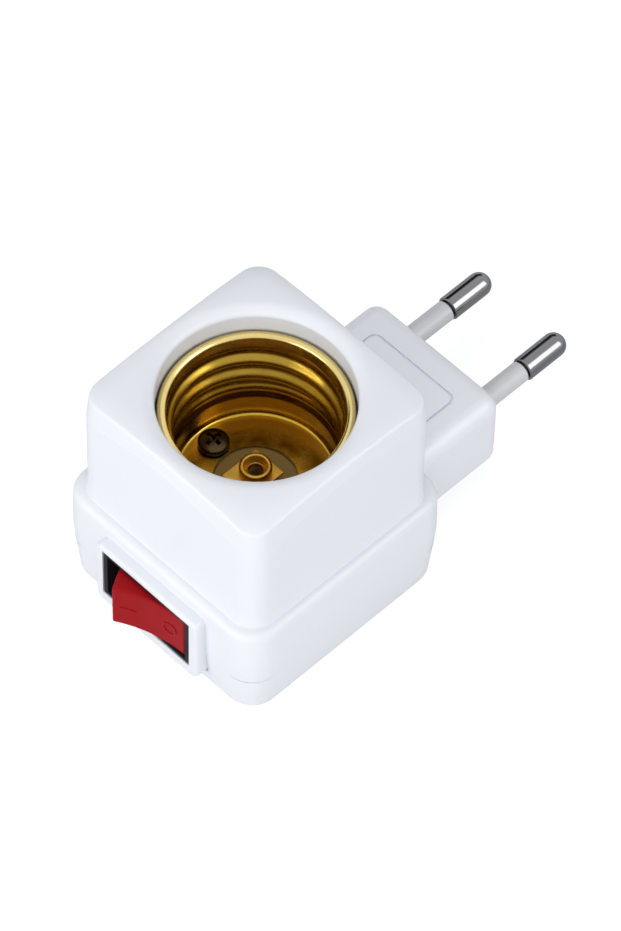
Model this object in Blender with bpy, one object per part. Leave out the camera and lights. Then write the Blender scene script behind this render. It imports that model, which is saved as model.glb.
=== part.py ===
"""Plug-in lamp holder with a rocker switch, built piece by piece in metres with +Z along the socket.

The origin lies on the socket's axis in the plane of the flat bottom. The plug pins point along +Y,
the switch faces -Y. Sizes below are in millimetres and are turned into metres when a mesh is made.
Most sizes follow from a few driving ones, so that neighbouring pieces keep their fits when one changes.
"""
import math

import bmesh
import bpy

MM = 0.001

# Screw thread, mouth and covers, from the inside outwards
THREAD_MEAN_R = 12.78
THREAD_DEPTH = 0.52
THREAD_PITCH = 3.629
SHEET = 0.45
RIM_ROLL = 0.9
MOUTH_CLEARANCE = 0.35
MOUTH_WALL = 3.8
SHOULDER_WIDTH = 1.95
SEAM_STEP = 0.05
WALL = 2.35
RIM_R = THREAD_MEAN_R + THREAD_DEPTH + SHEET + RIM_ROLL
MOUTH_R = RIM_R + MOUTH_CLEARANCE
TOWER_HALF = MOUTH_R + MOUTH_WALL
SKIRT_HALF = TOWER_HALF + SHOULDER_WIDTH
LOWER_HALF = SKIRT_HALF - SEAM_STEP
WALL_INNER_HALF = SKIRT_HALF - WALL
LOWER_INNER_HALF = LOWER_HALF - WALL - 0.45
LIP_OUTER_HALF = WALL_INNER_HALF - 0.35
LIP_INNER_HALF = LIP_OUTER_HALF - 1.1

# Corners and edges of the covers
TOWER_CORNER = 4.0
TOWER_EDGE = 2.4
SHOULDER_EDGE = 1.5
SKIRT_CORNER = 5.0
LOWER_CORNER = 4.3
INNER_CORNER = 3.2
BOTTOM_EDGE = 0.9
DRAFT = 0.5
MOUTH_LIP = 0.6

# Switch opening and its frame
OPENING_SHARE = 0.4482
OPENING_HALF_X = SKIRT_HALF * OPENING_SHARE
OPENING_HALF_Z = 5.3
FRAME_REACH = 1.85
FRAME_HALF_X = OPENING_HALF_X + 1.55
FRAME_HALF_Z = OPENING_HALF_Z + 1.6
FRAME_EDGE = 0.6
FRAME_CORNER = 1.2
FRAME_WALL = 2.2
FRAME_FRONT_Y = -(SKIRT_HALF + FRAME_REACH)

# Heights, from the bottom upwards
FLOOR_Z = 2.0
FRAME_BOTTOM_Z = FLOOR_Z + 0.9
FRAME_Z = FRAME_BOTTOM_Z + FRAME_HALF_Z
SWITCH_Z = FRAME_Z + 0.7
SEAM_Z = SWITCH_Z - 2.9
SEAM_GAP = 0.1
DECK_Z = SWITCH_Z + 7.1
PLATE_FLANGE_Z = DECK_Z - 1.6
SHOULDER_Z = DECK_Z + 1.8
SHELL_FLOOR_Z = DECK_Z + 3.9
PLATE_TOP_Z = SHELL_FLOOR_Z - SHEET - 0.3
SHELL_DEPTH = 21.5
TOP_Z = SHELL_FLOOR_Z + SHELL_DEPTH
RIM_Z = TOP_Z - 3.65
THREAD_START_Z = SHELL_FLOOR_Z + 4.1
THREAD_END_Z = RIM_Z - 2.25
THREAD_CREST_Z = TOP_Z - 10.37
THREAD_FADE = 1.1

# Pins
PIN_R = 2.0
PIN_X = 8.05
PIN_Z = SWITCH_Z + 0.6
PIN_CORE_R = PIN_R - 0.75
PIN_TAIL_R = PIN_R - 0.8
PIN_COLLAR_R = PIN_R + 0.7
PIN_BORE_R = PIN_R + 0.1
SLEEVE_R = PIN_R - 0.25
SLEEVE_BORE_R = PIN_R - 0.6
PIN_REACH = 18.8
TIP_LENGTH = 8.75
TIP_DOME = 1.95

# Plug body
PLUG_SIDE = 5.55
PLUG_REACH = 18.25
PLUG_EDGE = 2.6
PLUG_LOWER_STEP = 0.05
PLUG_LOWER_EDGE = 1.4
PLUG_ROOF = 2.2
PLUG_BLOCK = 11.0
PLUG_HALF_X = PIN_X + PLUG_SIDE
PLUG_INNER_HALF_X = PLUG_HALF_X - 2.3
PLUG_END_Y = SKIRT_HALF + PLUG_REACH
PLUG_BLOCK_Y = PLUG_END_Y - PLUG_BLOCK
PLUG_ROOT_Y = WALL_INNER_HALF - 1.4
PLUG_TOP_Z = SHOULDER_Z - 0.6
PLUG_BOTTOM_Z = PIN_Z - 6.7
PIN_END_Y = PLUG_END_Y + PIN_REACH
TIP_START_Y = PIN_END_Y - TIP_LENGTH
PANEL_HALF_X = PLUG_HALF_X - 4.75
PANEL_START_Y = SKIRT_HALF + 0.65
PANEL_END_Y = PLUG_END_Y - 5.2
PANEL_CORNER = 1.1
GROOVE_WIDTH = 0.5
GROOVE_DEPTH = 0.25

# Contact plate, centre contact and the screws around them
SHELL_SCREW_SHARE = 0.7042
SHELL_SCREW_X = THREAD_MEAN_R * SHELL_SCREW_SHARE
SHELL_HOLE_R = SHELL_SCREW_X - 2.5
PLATE_R = MOUTH_R - 0.8
PLATE_FLANGE_R = MOUTH_R + 0.8
PLATE_EAR_HALF_X = WALL_INNER_HALF - 0.4
PLATE_EAR_HALF_Y = 3.0
PLATE_SCREW_X = WALL_INNER_HALF - 2.2
LEAF_THICKNESS = 0.4
LEAF_HALF_X = SHELL_HOLE_R * 0.4615
LEAF_BACK_Y = -SHELL_HOLE_R * 0.6923
LEAF_TOP_Z = SHELL_FLOOR_Z + 1.95
LEAF_BOTTOM_Z = PLATE_FLANGE_Z - 0.5
EYELET_R = SHELL_HOLE_R * 0.385
EYELET_HOLE_R = EYELET_R * 0.46
EYELET_HEIGHT = 1.85
CENTRE_SCREW_Y = 1.5
STRAP_Z = PLATE_FLANGE_Z - 0.8
STRAP_THICKNESS = 0.5
STRAP_HALF_WIDTH = 1.9

# Screw sizes
SHELL_SCREW_HEAD_R = 2.4
SHELL_SCREW_HEAD = 1.3
SHELL_SCREW_R = 1.1
SMALL_SCREW_HEAD_R = 1.9
SMALL_SCREW_HEAD = 1.1
SMALL_SCREW_R = 0.65
CASE_SCREW_R = 0.7
SCREW_PLAY = 0.35

# Case screws sit at two opposite corners
CASE_SCREW_AT = WALL_INNER_HALF - 4.5
CASE_SCREWS = ((CASE_SCREW_AT, CASE_SCREW_AT), (-CASE_SCREW_AT, -CASE_SCREW_AT))
CASE_SCREW_SEAT_Z = FLOOR_Z - 0.4
POST_R = 2.7
POST_Z = FLOOR_Z + 2.4
BOSS_R = 3.0
BOSS_TOP_Z = FLOOR_Z + 2.0
COUNTERBORE_R = 2.6

# Switch housing
HOUSING_PLAY = 0.15
HOUSING_HALF_X = OPENING_HALF_X - HOUSING_PLAY
HOUSING_RIM_HALF_Z = OPENING_HALF_Z - HOUSING_PLAY
HOUSING_HALF_Z = HOUSING_RIM_HALF_Z + 0.05
CAVITY_HALF_X = HOUSING_HALF_X - 0.8
CAVITY_HALF_Z = HOUSING_RIM_HALF_Z - 0.55
HOUSING_FRONT_Y = FRAME_FRONT_Y + 0.1
HOUSING_BODY_Y = FRAME_FRONT_Y + 3.1
HOUSING_BACK_Y = FRAME_FRONT_Y + 15.1
HOUSING_BACK_WALL = 1.4
FLANGE_HALF_X = OPENING_HALF_X + 0.55
FLANGE_HALF_Z = OPENING_HALF_Z + 0.25
FLANGE_Y = FRAME_FRONT_Y + 2.5
PIVOT_Y = FRAME_FRONT_Y + 6.0
PIVOT_R = 0.75
PIVOT_HOLE_R = 1.0

# Rocker, contact lever and terminals
ROCKER_REST = math.radians(17.0)
ROCKER_HALF_X = CAVITY_HALF_X - 1.0
ROCKER_HALF_Z = CAVITY_HALF_Z - 0.3
ROCKER_EDGE = 0.3
LEVER_REST = math.radians(-7.0)
LEVER_Y = PIVOT_Y + 5.65
LEVER_HALF_X = ROCKER_HALF_X * 0.7778
TERMINAL_HALF_Z = 2.0
TERMINAL_HALF = 0.4
TERMINAL_START_Y = LEVER_Y + 0.5
TERMINAL_END_Y = HOUSING_BACK_Y + 3.9
LOAD_X = ROCKER_HALF_X * 0.7917
LOAD_START_Y = LEVER_Y + 1.35
PAD_REACH = 2.1
SLOT_PLAY = 0.35
PLUNGER_R = 0.85
PLUNGER_BORE_R = 1.15

# Wires
WIRE_R = 0.75
WIRE_SIDES = 8

# Roundness of what is turned
MOUTH_SEGMENTS = 56
SHELL_SEGMENTS = 32
SHELL_ROWS = 17
PLATE_SEGMENTS = 32
PIN_SEGMENTS = 20
SPRING_TURNS = 4
SPRING_STEPS = 8


def remove_everything():
    for item in list(bpy.data.objects):
        bpy.data.objects.remove(item, do_unlink=True)
    for block in list(bpy.data.meshes):
        bpy.data.meshes.remove(block)
    for block in list(bpy.data.materials):
        bpy.data.materials.remove(block)


def make_material(name, colour, metallic, roughness):
    material = bpy.data.materials.new(name)
    material.use_nodes = True
    shader = material.node_tree.nodes["Principled BSDF"]
    shader.inputs["Base Color"].default_value = (*colour, 1.0)
    shader.inputs["Metallic"].default_value = metallic
    shader.inputs["Roughness"].default_value = roughness
    return material


def make_object(name, points, faces, material=None, location=(0.0, 0.0, 0.0), turn_z=0.0):
    """A mesh object from points in millimetres, with its faces turned outwards."""
    mesh = bpy.data.meshes.new(name)
    mesh.from_pydata([(x * MM, y * MM, z * MM) for x, y, z in points], [], faces)
    work = bmesh.new()
    work.from_mesh(mesh)
    bmesh.ops.recalc_face_normals(work, faces=work.faces)
    work.to_mesh(mesh)
    work.free()
    item = bpy.data.objects.new(name, mesh)
    item.location = [value * MM for value in location]
    item.rotation_euler = (0.0, 0.0, turn_z)
    bpy.context.scene.collection.objects.link(item)
    if material:
        mesh.materials.append(material)
    return item


def rounded_outline(x0, x1, y0, y1, radius, steps=5):
    """Anticlockwise outline of a rectangle whose corners are rounded."""
    outline = []
    centres = ((x1 - radius, y1 - radius), (x0 + radius, y1 - radius),
               (x0 + radius, y0 + radius), (x1 - radius, y0 + radius))
    for quarter, (cx, cy) in enumerate(centres):
        for step in range(steps + 1):
            angle = (quarter + step / steps) * math.pi / 2
            outline.append((cx + radius * math.cos(angle), cy + radius * math.sin(angle)))
    return outline


def loft(name, rings, material=None, **place):
    """A closed solid through rings that all have the same number of points."""
    count = len(rings[0])
    points = [point for ring in rings for point in ring]
    faces = [tuple(range(count))[::-1], tuple(range(count * (len(rings) - 1), count * len(rings)))]
    for level in range(len(rings) - 1):
        base = level * count
        for i in range(count):
            j = (i + 1) % count
            faces.append((base + i, base + j, base + count + j, base + count + i))
    return make_object(name, points, faces, material, **place)


def upright_ring(half, radius, z, steps=5):
    return [(x, y, z) for x, y in rounded_outline(-half, half, -half, half, radius, steps)]


def box(name, x0, x1, y0, y1, z0, z1, material=None, **place):
    rings = [[(x0, y0, z), (x1, y0, z), (x1, y1, z), (x0, y1, z)] for z in (z0, z1)]
    return loft(name, rings, material, **place)


def turned(name, profile, centre, axis="Z", segments=24, closed=False, material=None, **place):
    """A turned solid: profile points are (radius, height along the axis)."""
    points = []
    rows = []
    for radius, height in profile:
        row = []
        for i in range(1 if radius == 0.0 else segments):
            angle = 2.0 * math.pi * (i + 0.5) / segments
            a, b = radius * math.cos(angle), radius * math.sin(angle)
            if axis == "Z":
                point = (centre[0] + a, centre[1] + b, centre[2] + height)
            else:
                point = (centre[0] + a, centre[1] + height, centre[2] + b)
            row.append(len(points))
            points.append(point)
        rows.append(row)
    faces = []
    pairs = list(zip(rows, rows[1:]))
    if closed:
        pairs.append((rows[-1], rows[0]))
    for low, high in pairs:
        for i in range(segments):
            j = (i + 1) % segments
            corners = [low[i % len(low)], low[j % len(low)], high[j % len(high)], high[i % len(high)]]
            face = [corner for k, corner in enumerate(corners) if corner not in corners[:k]]
            if len(face) > 2:
                faces.append(tuple(face))
    if not closed and len(rows[0]) > 1:
        faces.append(tuple(rows[0]))
    if not closed and len(rows[-1]) > 1:
        faces.append(tuple(rows[-1]))
    return make_object(name, points, faces, material, **place)


def rod(name, radius, centre, low, high, axis="Z", segments=24, material=None, **place):
    profile = ((radius, low), (radius, high))
    return turned(name, profile, centre, axis, segments, False, material, **place)


def join_shapes(target, other, operation):
    """Adds or cuts one solid and removes the helper afterwards."""
    modifier = target.modifiers.new("shape", "BOOLEAN")
    modifier.solver = "EXACT"
    modifier.operation = operation
    modifier.object = other
    bpy.context.view_layer.objects.active = target
    bpy.ops.object.modifier_apply(modifier=modifier.name)
    bpy.data.objects.remove(other, do_unlink=True)


def add(target, *others):
    for other in others:
        join_shapes(target, other, "UNION")


def cut(target, *others):
    for other in others:
        join_shapes(target, other, "DIFFERENCE")


def round_edges(item, width, segments=2, angle=40.0):
    modifier = item.modifiers.new("edges", "BEVEL")
    modifier.width = width * MM
    modifier.segments = segments
    modifier.limit_method = "ANGLE"
    modifier.angle_limit = math.radians(angle)
    bpy.context.view_layer.objects.active = item
    bpy.ops.object.modifier_apply(modifier=modifier.name)


def edge_steps(radius, steps):
    """How far in and how far below the top each ring of a rounded edge lies."""
    result = []
    for step in range(steps + 1):
        angle = math.pi / 2 * step / steps
        result.append((radius * (1.0 - math.cos(angle)), radius * (1.0 - math.sin(angle))))
    return result


def slope_steps(size):
    """The same for an edge that slopes straight, with rounded ends."""
    return ((0.0, size * 1.15), (size * 0.06, size * 0.92), (size * 0.75, size * 0.17), (size * 1.2, 0.0))


def between(start, end, share):
    return start + (end - start) * share


def ramp(value, low, high):
    """0 below low, 1 above high and in proportion in between."""
    return min(max((value - low) / (high - low), 0.0), 1.0)


def tube(name, path, radius, sides, material, steps=4, **place):
    """A round wire led smoothly through the points of a path."""
    route = []
    for i in range(len(path) - 1):
        before = path[max(i - 1, 0)]
        after = path[min(i + 2, len(path) - 1)]
        for step in range(steps):
            t = step / steps
            route.append([smooth_value(before[k], path[i][k], path[i + 1][k], after[k], t) for k in range(3)])
    route.append(list(path[-1]))
    rings = []
    side = None
    for i, point in enumerate(route):
        ahead = route[min(i + 1, len(route) - 1)]
        behind = route[max(i - 1, 0)]
        along = unit([ahead[k] - behind[k] for k in range(3)])
        if side is None:
            side = unit(cross(along, (0.3, 0.2, 1.0)))
        over = unit(cross(along, side))
        side = unit(cross(over, along))
        ring = []
        for k in range(sides):
            angle = 2.0 * math.pi * k / sides
            ring.append(tuple(point[n] + radius * (math.cos(angle) * side[n] + math.sin(angle) * over[n])
                              for n in range(3)))
        rings.append(ring)
    return loft(name, rings, material, **place)


def smooth_value(before, start, end, after, t):
    return 0.5 * (2.0 * start + (end - before) * t
                  + (2.0 * before - 5.0 * start + 4.0 * end - after) * t * t
                  + (3.0 * start - before - 3.0 * end + after) * t * t * t)


def cross(a, b):
    return (a[1] * b[2] - a[2] * b[1], a[2] * b[0] - a[0] * b[2], a[0] * b[1] - a[1] * b[0])


def unit(vector):
    length = math.sqrt(sum(value * value for value in vector))
    return [value / length for value in vector]


def strip(name, path, thickness, half_width, material):
    """A bent sheet strip: the path lies in the YZ plane, the width along X."""
    upper = []
    lower = []
    for i, (y, z) in enumerate(path):
        ahead = path[min(i + 1, len(path) - 1)]
        behind = path[max(i - 1, 0)]
        dy, dz = ahead[0] - behind[0], ahead[1] - behind[1]
        length = math.hypot(dy, dz)
        ny, nz = -dz / length * thickness / 2, dy / length * thickness / 2
        upper.append((y + ny, z + nz))
        lower.append((y - ny, z - nz))
    section = upper + lower[::-1]
    rings = [[(x, y, z) for y, z in section] for x in (-half_width, half_width)]
    return loft(name, rings, material)


def cross_screw(name, x, y, seat_z, head_r, head_h, shank_r, shank_end_z, material, segments=12):
    """A pan-head screw with a cross recess; the head points up if the shank runs down."""
    up = 1.0 if shank_end_z < seat_z else -1.0
    profile = [(0.0, shank_end_z), (shank_r, shank_end_z), (shank_r, seat_z), (head_r, seat_z),
               (head_r, seat_z + up * head_h * 0.4), (head_r * 0.75, seat_z + up * head_h),
               (0.0, seat_z + up * head_h)]
    screw = turned(name, profile, (x, y, 0.0), segments=segments, material=material)
    low, high = sorted((seat_z + up * head_h * 0.45, seat_z + up * head_h * 1.5))
    arm = head_r * 0.62
    slot = head_r * 0.14
    cut(screw, box("arm_a", x - arm, x + arm, y - slot, y + slot, low, high),
        box("arm_b", x - slot, x + slot, y - arm, y + arm, low, high))
    return screw


def build_upper_cover(material):
    rings = [upright_ring(TOWER_HALF + 0.05, TOWER_CORNER, SHOULDER_Z - 7.4)]
    for inset, drop in slope_steps(TOWER_EDGE):
        rings.append(upright_ring(TOWER_HALF - inset, TOWER_CORNER - inset, TOP_Z - drop))
    cover = loft("upper_cover", rings, material)

    rings = [upright_ring(SKIRT_HALF, SKIRT_CORNER, SEAM_Z)]
    for inset, drop in edge_steps(SHOULDER_EDGE, 3):
        rings.append(upright_ring(SKIRT_HALF - 0.1 - inset, SKIRT_CORNER - inset, SHOULDER_Z - drop))
    add(cover, loft("skirt", rings))

    rings = [plug_ring(0.0, SEAM_Z, PLUG_EDGE)]
    for inset, drop in edge_steps(PLUG_EDGE, 3):
        rings.append(plug_ring(inset, PLUG_TOP_Z - drop, PLUG_EDGE))
    add(cover, loft("plug_upper", rings))

    rings = [frame_ring(0.0, FRAME_FRONT_Y + FRAME_WALL + 3.4)]
    for inset, drop in edge_steps(FRAME_EDGE, 3):
        rings.append(frame_ring(inset, FRAME_FRONT_Y + drop))
    add(cover, loft("frame", rings))

    hollow = [upright_ring(WALL_INNER_HALF, INNER_CORNER, z, 3) for z in (SEAM_Z - 1.0, DECK_Z)]
    cut(cover, loft("hollow", hollow))
    x = PLUG_INNER_HALF_X
    cut(cover, box("plug_hollow", -x, x, PLUG_ROOT_Y, PLUG_BLOCK_Y, SEAM_Z - 1.0, PLUG_TOP_Z - PLUG_ROOF))
    lip = MOUTH_LIP
    mouth = ((MOUTH_R, DECK_Z - 1.6), (MOUTH_R, TOP_Z - lip * 1.15), (MOUTH_R + lip * 0.2, TOP_Z - lip * 0.6),
             (MOUTH_R + lip * 0.6, TOP_Z - lip * 0.15), (MOUTH_R + lip, TOP_Z + 0.1))
    cut(cover, turned("mouth", mouth, (0.0, 0.0, 0.0), segments=MOUTH_SEGMENTS))
    x, z = OPENING_HALF_X, OPENING_HALF_Z
    low, high = FRAME_FRONT_Y - 1.4, FRAME_FRONT_Y + FRAME_WALL + 1.4
    cut(cover, box("opening", -x, x, low, high, SWITCH_Z - z, SWITCH_Z + z))
    x, z = FLANGE_HALF_X + 0.25, FLANGE_HALF_Z + 0.25
    low, high = FRAME_FRONT_Y + FRAME_WALL, FRAME_FRONT_Y + FRAME_WALL + 4.4
    cut(cover, box("frame_hollow", -x, x, low, high, SWITCH_Z - z, SWITCH_Z + z))
    cut(cover, panel_groove())
    for side in (-1.0, 1.0):
        cut(cover, rod("pin_bore", PIN_BORE_R, (side * PIN_X, 0.0, PIN_Z), PLUG_BLOCK_Y - 1.0,
                       PLUG_END_Y + 2.0, "Y"))
        cut(cover, rod("plate_pilot", SMALL_SCREW_R + 0.15, (side * PLATE_SCREW_X, 0.0, 0.0), DECK_Z - 1.0,
                       DECK_Z + 6.4, segments=8))
    for x, y in CASE_SCREWS:
        add(cover, rod("post", POST_R, (x, y, 0.0), POST_Z, DECK_Z + 0.5, segments=16))
        cut(cover, rod("post_bore", CASE_SCREW_R + 0.15, (x, y, 0.0), POST_Z - 0.4, DECK_Z - 3.6, segments=8))
    return cover


def plug_ring(inset, z, corner):
    x, y = PLUG_HALF_X - inset, PLUG_END_Y - inset
    outline = rounded_outline(-x, x, SKIRT_HALF - 8.55, y, max(corner - inset, 0.15), 4)
    return [(px, py, z) for px, py in outline]


def frame_ring(inset, y):
    x, z = FRAME_HALF_X - inset, FRAME_HALF_Z - inset
    outline = rounded_outline(-x, x, FRAME_Z - z, FRAME_Z + z, max(FRAME_CORNER - inset, 0.4), 3)
    return [(px, y, pz) for px, pz in outline]


def panel_groove():
    """The narrow groove around the panel on top of the plug body."""
    x, y0, y1, corner = PANEL_HALF_X, PANEL_START_Y, PANEL_END_Y, PANEL_CORNER
    low, high, width = PLUG_TOP_Z - GROOVE_DEPTH, PLUG_TOP_Z + 1.0, GROOVE_WIDTH
    outside = rounded_outline(-x, x, y0, y1, corner, 3)
    inside = rounded_outline(width - x, x - width, y0 + width, y1 - width, corner - width, 3)
    groove = loft("groove", [[(px, py, z) for px, py in outside] for z in (low, high)])
    cut(groove, loft("panel", [[(px, py, z) for px, py in inside] for z in (low - 1.0, high + 1.0)]))
    return groove


def build_lower_cover(material):
    rings = []
    for inset, drop in reversed(edge_steps(BOTTOM_EDGE, 3)):
        rings.append(upright_ring(LOWER_HALF - DRAFT - inset, LOWER_CORNER - inset, drop))
    top = SEAM_Z - SEAM_GAP
    rings.append(upright_ring(LOWER_HALF, LOWER_CORNER, top))
    cover = loft("lower_cover", rings, material)

    step, corner = PLUG_LOWER_STEP, PLUG_EDGE
    rings = []
    for inset, drop in reversed(edge_steps(PLUG_LOWER_EDGE, 3)):
        rings.append(plug_ring(step + inset, PLUG_BOTTOM_Z + drop, corner))
    rings.append(plug_ring(step, top, corner))
    add(cover, loft("plug_lower", rings))
    x = PLUG_INNER_HALF_X - 0.3
    floor = PLUG_BOTTOM_Z + 1.8
    cut(cover, box("plug_channel", -x, x, LIP_INNER_HALF - 2.0, PLUG_BLOCK_Y, floor, SEAM_Z + 1.4))
    hollow = [upright_ring(LOWER_INNER_HALF, INNER_CORNER - 0.2, z, 3) for z in (FLOOR_Z, SEAM_Z + 1.4)]
    cut(cover, loft("hollow", hollow))

    lip_top = SEAM_Z + 1.6
    outside = [upright_ring(LIP_OUTER_HALF, INNER_CORNER - 0.3, z, 3) for z in (FLOOR_Z - 0.6, lip_top)]
    inside = [upright_ring(LIP_INNER_HALF, INNER_CORNER - 0.6, z, 3) for z in (0.0, lip_top + 1.0)]
    lip = loft("lip", outside)
    cut(lip, loft("lip_inside", inside))
    add(cover, lip)
    x = PLUG_INNER_HALF_X - 0.4
    low, high = PLUG_BLOCK_Y - 3.0, PLUG_BLOCK_Y - 1.6
    rib = box("rib", -x, x, low, high, floor - 0.6, PIN_Z + 1.9)
    half = PIN_TAIL_R + 0.5
    for side in (-1.0, 1.0):
        cut(rib, box("slot", side * PIN_X - half, side * PIN_X + half, low - 1.0, high + 1.0, PIN_Z - 1.9,
                     PIN_Z + 3.0))
    x = ROCKER_HALF_X - 0.2
    low, high = HOUSING_BACK_Y + 0.6, HOUSING_BACK_Y + 1.8
    add(cover, rib, box("switch_stop", -x, x, low, high, FLOOR_Z - 1.0, SWITCH_Z - TERMINAL_HALF_Z - 0.5))
    x = FRAME_HALF_X + 0.2
    cut(cover, box("frame_notch", -x, x, FRAME_FRONT_Y - 1.4, FRAME_FRONT_Y + FRAME_WALL + 4.0,
                   FRAME_BOTTOM_Z - 0.2, SWITCH_Z + 1.5))
    for x, y in CASE_SCREWS:
        add(cover, rod("boss", BOSS_R, (x, y, 0.0), FLOOR_Z - 1.0, BOSS_TOP_Z, segments=16))
        cut(cover, rod("counterbore", COUNTERBORE_R, (x, y, 0.0), -1.0, CASE_SCREW_SEAT_Z + 0.3, segments=16))
        cut(cover, rod("screw_hole", CASE_SCREW_R + 0.6, (x, y, 0.0), CASE_SCREW_SEAT_Z - 0.6,
                       BOSS_TOP_Z + 1.0, segments=12))
    return cover


def thread_radius(base, z, angle):
    """Radius of the rolled thread, fading out at both ends of the threaded length."""
    start = (z - THREAD_START_Z - 0.3) / THREAD_FADE
    end = (THREAD_END_Z - 0.2 - z) / THREAD_FADE
    strength = min(max(start, 0.0), max(end, 0.0), 1.0)
    phase = (z - THREAD_CREST_Z) / THREAD_PITCH - angle / (2.0 * math.pi)
    return base - THREAD_DEPTH * strength * math.cos(2.0 * math.pi * phase)


def wall_radius(z):
    """Mean radius of the wall: a little narrower below the thread and wider above it."""
    above = ramp(z, THREAD_END_Z - 1.5, THREAD_END_Z)
    below = 1.0 - ramp(z, THREAD_START_Z, THREAD_START_Z + 1.0)
    return THREAD_MEAN_R + 0.42 * above - 0.38 * below


def build_screw_shell(material):
    """One pressed sheet: floor with a round hole, threaded wall and a rim rolled outwards."""
    floor = SHELL_FLOOR_Z
    foot = THREAD_MEAN_R - 0.38
    inner = [(SHELL_HOLE_R, floor), (foot - 0.8, floor), (foot - 0.25, floor + 0.2), (foot - 0.05, floor + 0.8),
             (foot, THREAD_START_Z - 0.4)]
    outer = [(foot + 0.4, floor + 0.6), (foot + 0.1, floor - 0.2), (foot - 0.4, floor - SHEET),
             (SHELL_HOLE_R, floor - SHEET)]
    bead = ((-1.45, -1.85), (-1.37, -1.05), (-1.05, -0.4), (-0.65, 0.0), (-0.25, 0.0), (0.0, -0.35),
            (-0.1, -0.75), (-0.45, -0.6), (-0.75, -0.85), (-0.93, -1.45))
    levels = [between(THREAD_START_Z, THREAD_END_Z, i / (SHELL_ROWS - 1)) for i in range(SHELL_ROWS)]
    profile = [(r, z, False) for r, z in inner]
    profile += [(wall_radius(z), z, True) for z in levels]
    profile += [(RIM_R + across, RIM_Z + along, False) for across, along in bead]
    profile += [(wall_radius(z) + SHEET, z, True) for z in reversed(levels)]
    profile += [(r, z, False) for r, z in outer]

    points = []
    faces = []
    count = SHELL_SEGMENTS
    for radius, z, threaded in profile:
        for i in range(count):
            angle = 2.0 * math.pi * (i + 0.5) / count
            r = thread_radius(radius, z, angle) if threaded else radius
            points.append((r * math.cos(angle), r * math.sin(angle), z))
    for level in range(len(profile)):
        following = (level + 1) % len(profile)
        for i in range(count):
            j = (i + 1) % count
            faces.append((level * count + i, level * count + j, following * count + j, following * count + i))
    shell = make_object("screw_shell", points, faces, material)
    for side in (-1.0, 1.0):
        hole = rod("screw_hole", SHELL_SCREW_R + SCREW_PLAY, (side * SHELL_SCREW_X, 0.0, 0.0), floor - 1.0,
                   floor + 1.0, segments=12)
        cut(shell, hole)
    return shell


def build_contact_plate(material):
    low, ledge, top = PLATE_FLANGE_Z, DECK_Z - 0.3, PLATE_TOP_Z
    profile = ((0.0, low), (PLATE_FLANGE_R, low), (PLATE_FLANGE_R, ledge), (PLATE_R, ledge), (PLATE_R, top),
               (0.0, top))
    plate = turned("contact_plate", profile, (0.0, 0.0, 0.0), segments=PLATE_SEGMENTS, material=material)
    x, y = PLATE_EAR_HALF_X, PLATE_EAR_HALF_Y
    add(plate, box("ears", -x, x, -y, y, low + 0.05, ledge - 0.05))
    below, above = low - 1.0, top + 1.25
    x = LEAF_HALF_X + 0.4
    cut(plate, box("leaf_slot", -x, x, LEAF_BACK_Y - 0.6, LEAF_BACK_Y + 0.5, below, above))
    for side in (-1.0, 1.0):
        for at, radius in ((SHELL_SCREW_X, SHELL_SCREW_R + SCREW_PLAY), (PLATE_SCREW_X, SMALL_SCREW_R + 0.6)):
            cut(plate, rod("hole", radius, (side * at, 0.0, 0.0), below, above, segments=12))
    cut(plate, rod("hole", SMALL_SCREW_R + 0.15, (0.0, CENTRE_SCREW_Y, 0.0), below, low + 3.0, segments=8))
    return plate


def build_centre_contact(material):
    """One bent strip: flat tongue with a raised eyelet, down through the plate and flat below it."""
    top, low, back = LEAF_TOP_Z, LEAF_BOTTOM_Z, LEAF_BACK_Y
    path = [(EYELET_R + 0.4, top), (back + 1.2, top), (back + 0.35, top - 0.3), (back, top - 1.15),
            (back, low + 1.1), (back + 0.2, low + 0.3), (back + 0.9, low), (6.0, low)]
    leaf = strip("centre_contact", path, LEAF_THICKNESS, LEAF_HALF_X, material)
    ring, hole, high = EYELET_R, EYELET_HOLE_R, EYELET_HEIGHT
    dome = ((ring, top - 0.1), (ring, top + high - 0.45), (ring - 0.2, top + high - 0.1),
            (ring - 0.5, top + high), (ring - 0.85, top + high - 0.25), (hole, top + 0.5), (hole, top - 0.1))
    add(leaf, turned("eyelet", dome, (0.0, 0.0, 0.0), segments=16, closed=True))
    cut(leaf, rod("eyelet_hole", hole, (0.0, 0.0, 0.0), top - 0.45, top + 1.55, segments=16))
    cut(leaf, rod("screw_hole", SMALL_SCREW_R + 0.5, (0.0, CENTRE_SCREW_Y, 0.0), low - 0.5, low + 0.5,
                  segments=12))
    return leaf


def build_shell_strap(material):
    """A flat U of brass under the plate that joins both shell screws."""
    inner, outer = SHELL_SCREW_X - STRAP_HALF_WIDTH, SHELL_SCREW_X + STRAP_HALF_WIDTH
    end, bend_in, bend_out = -2.0, 7.6, 11.0
    outline = [(-outer, end), (-inner, end), (-inner, bend_in), (inner, bend_in), (inner, end), (outer, end),
               (outer, bend_out), (-outer, bend_out)]
    levels = (STRAP_Z, STRAP_Z + STRAP_THICKNESS)
    strap = loft("shell_strap", [[(x, y, z) for x, y in outline] for z in levels], material)
    for side in (-1.0, 1.0):
        cut(strap, rod("hole", SHELL_SCREW_R + 0.25, (side * SHELL_SCREW_X, 0.0, 0.0), STRAP_Z - 1.0,
                       STRAP_Z + 2.0, segments=12))
    return strap


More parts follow.
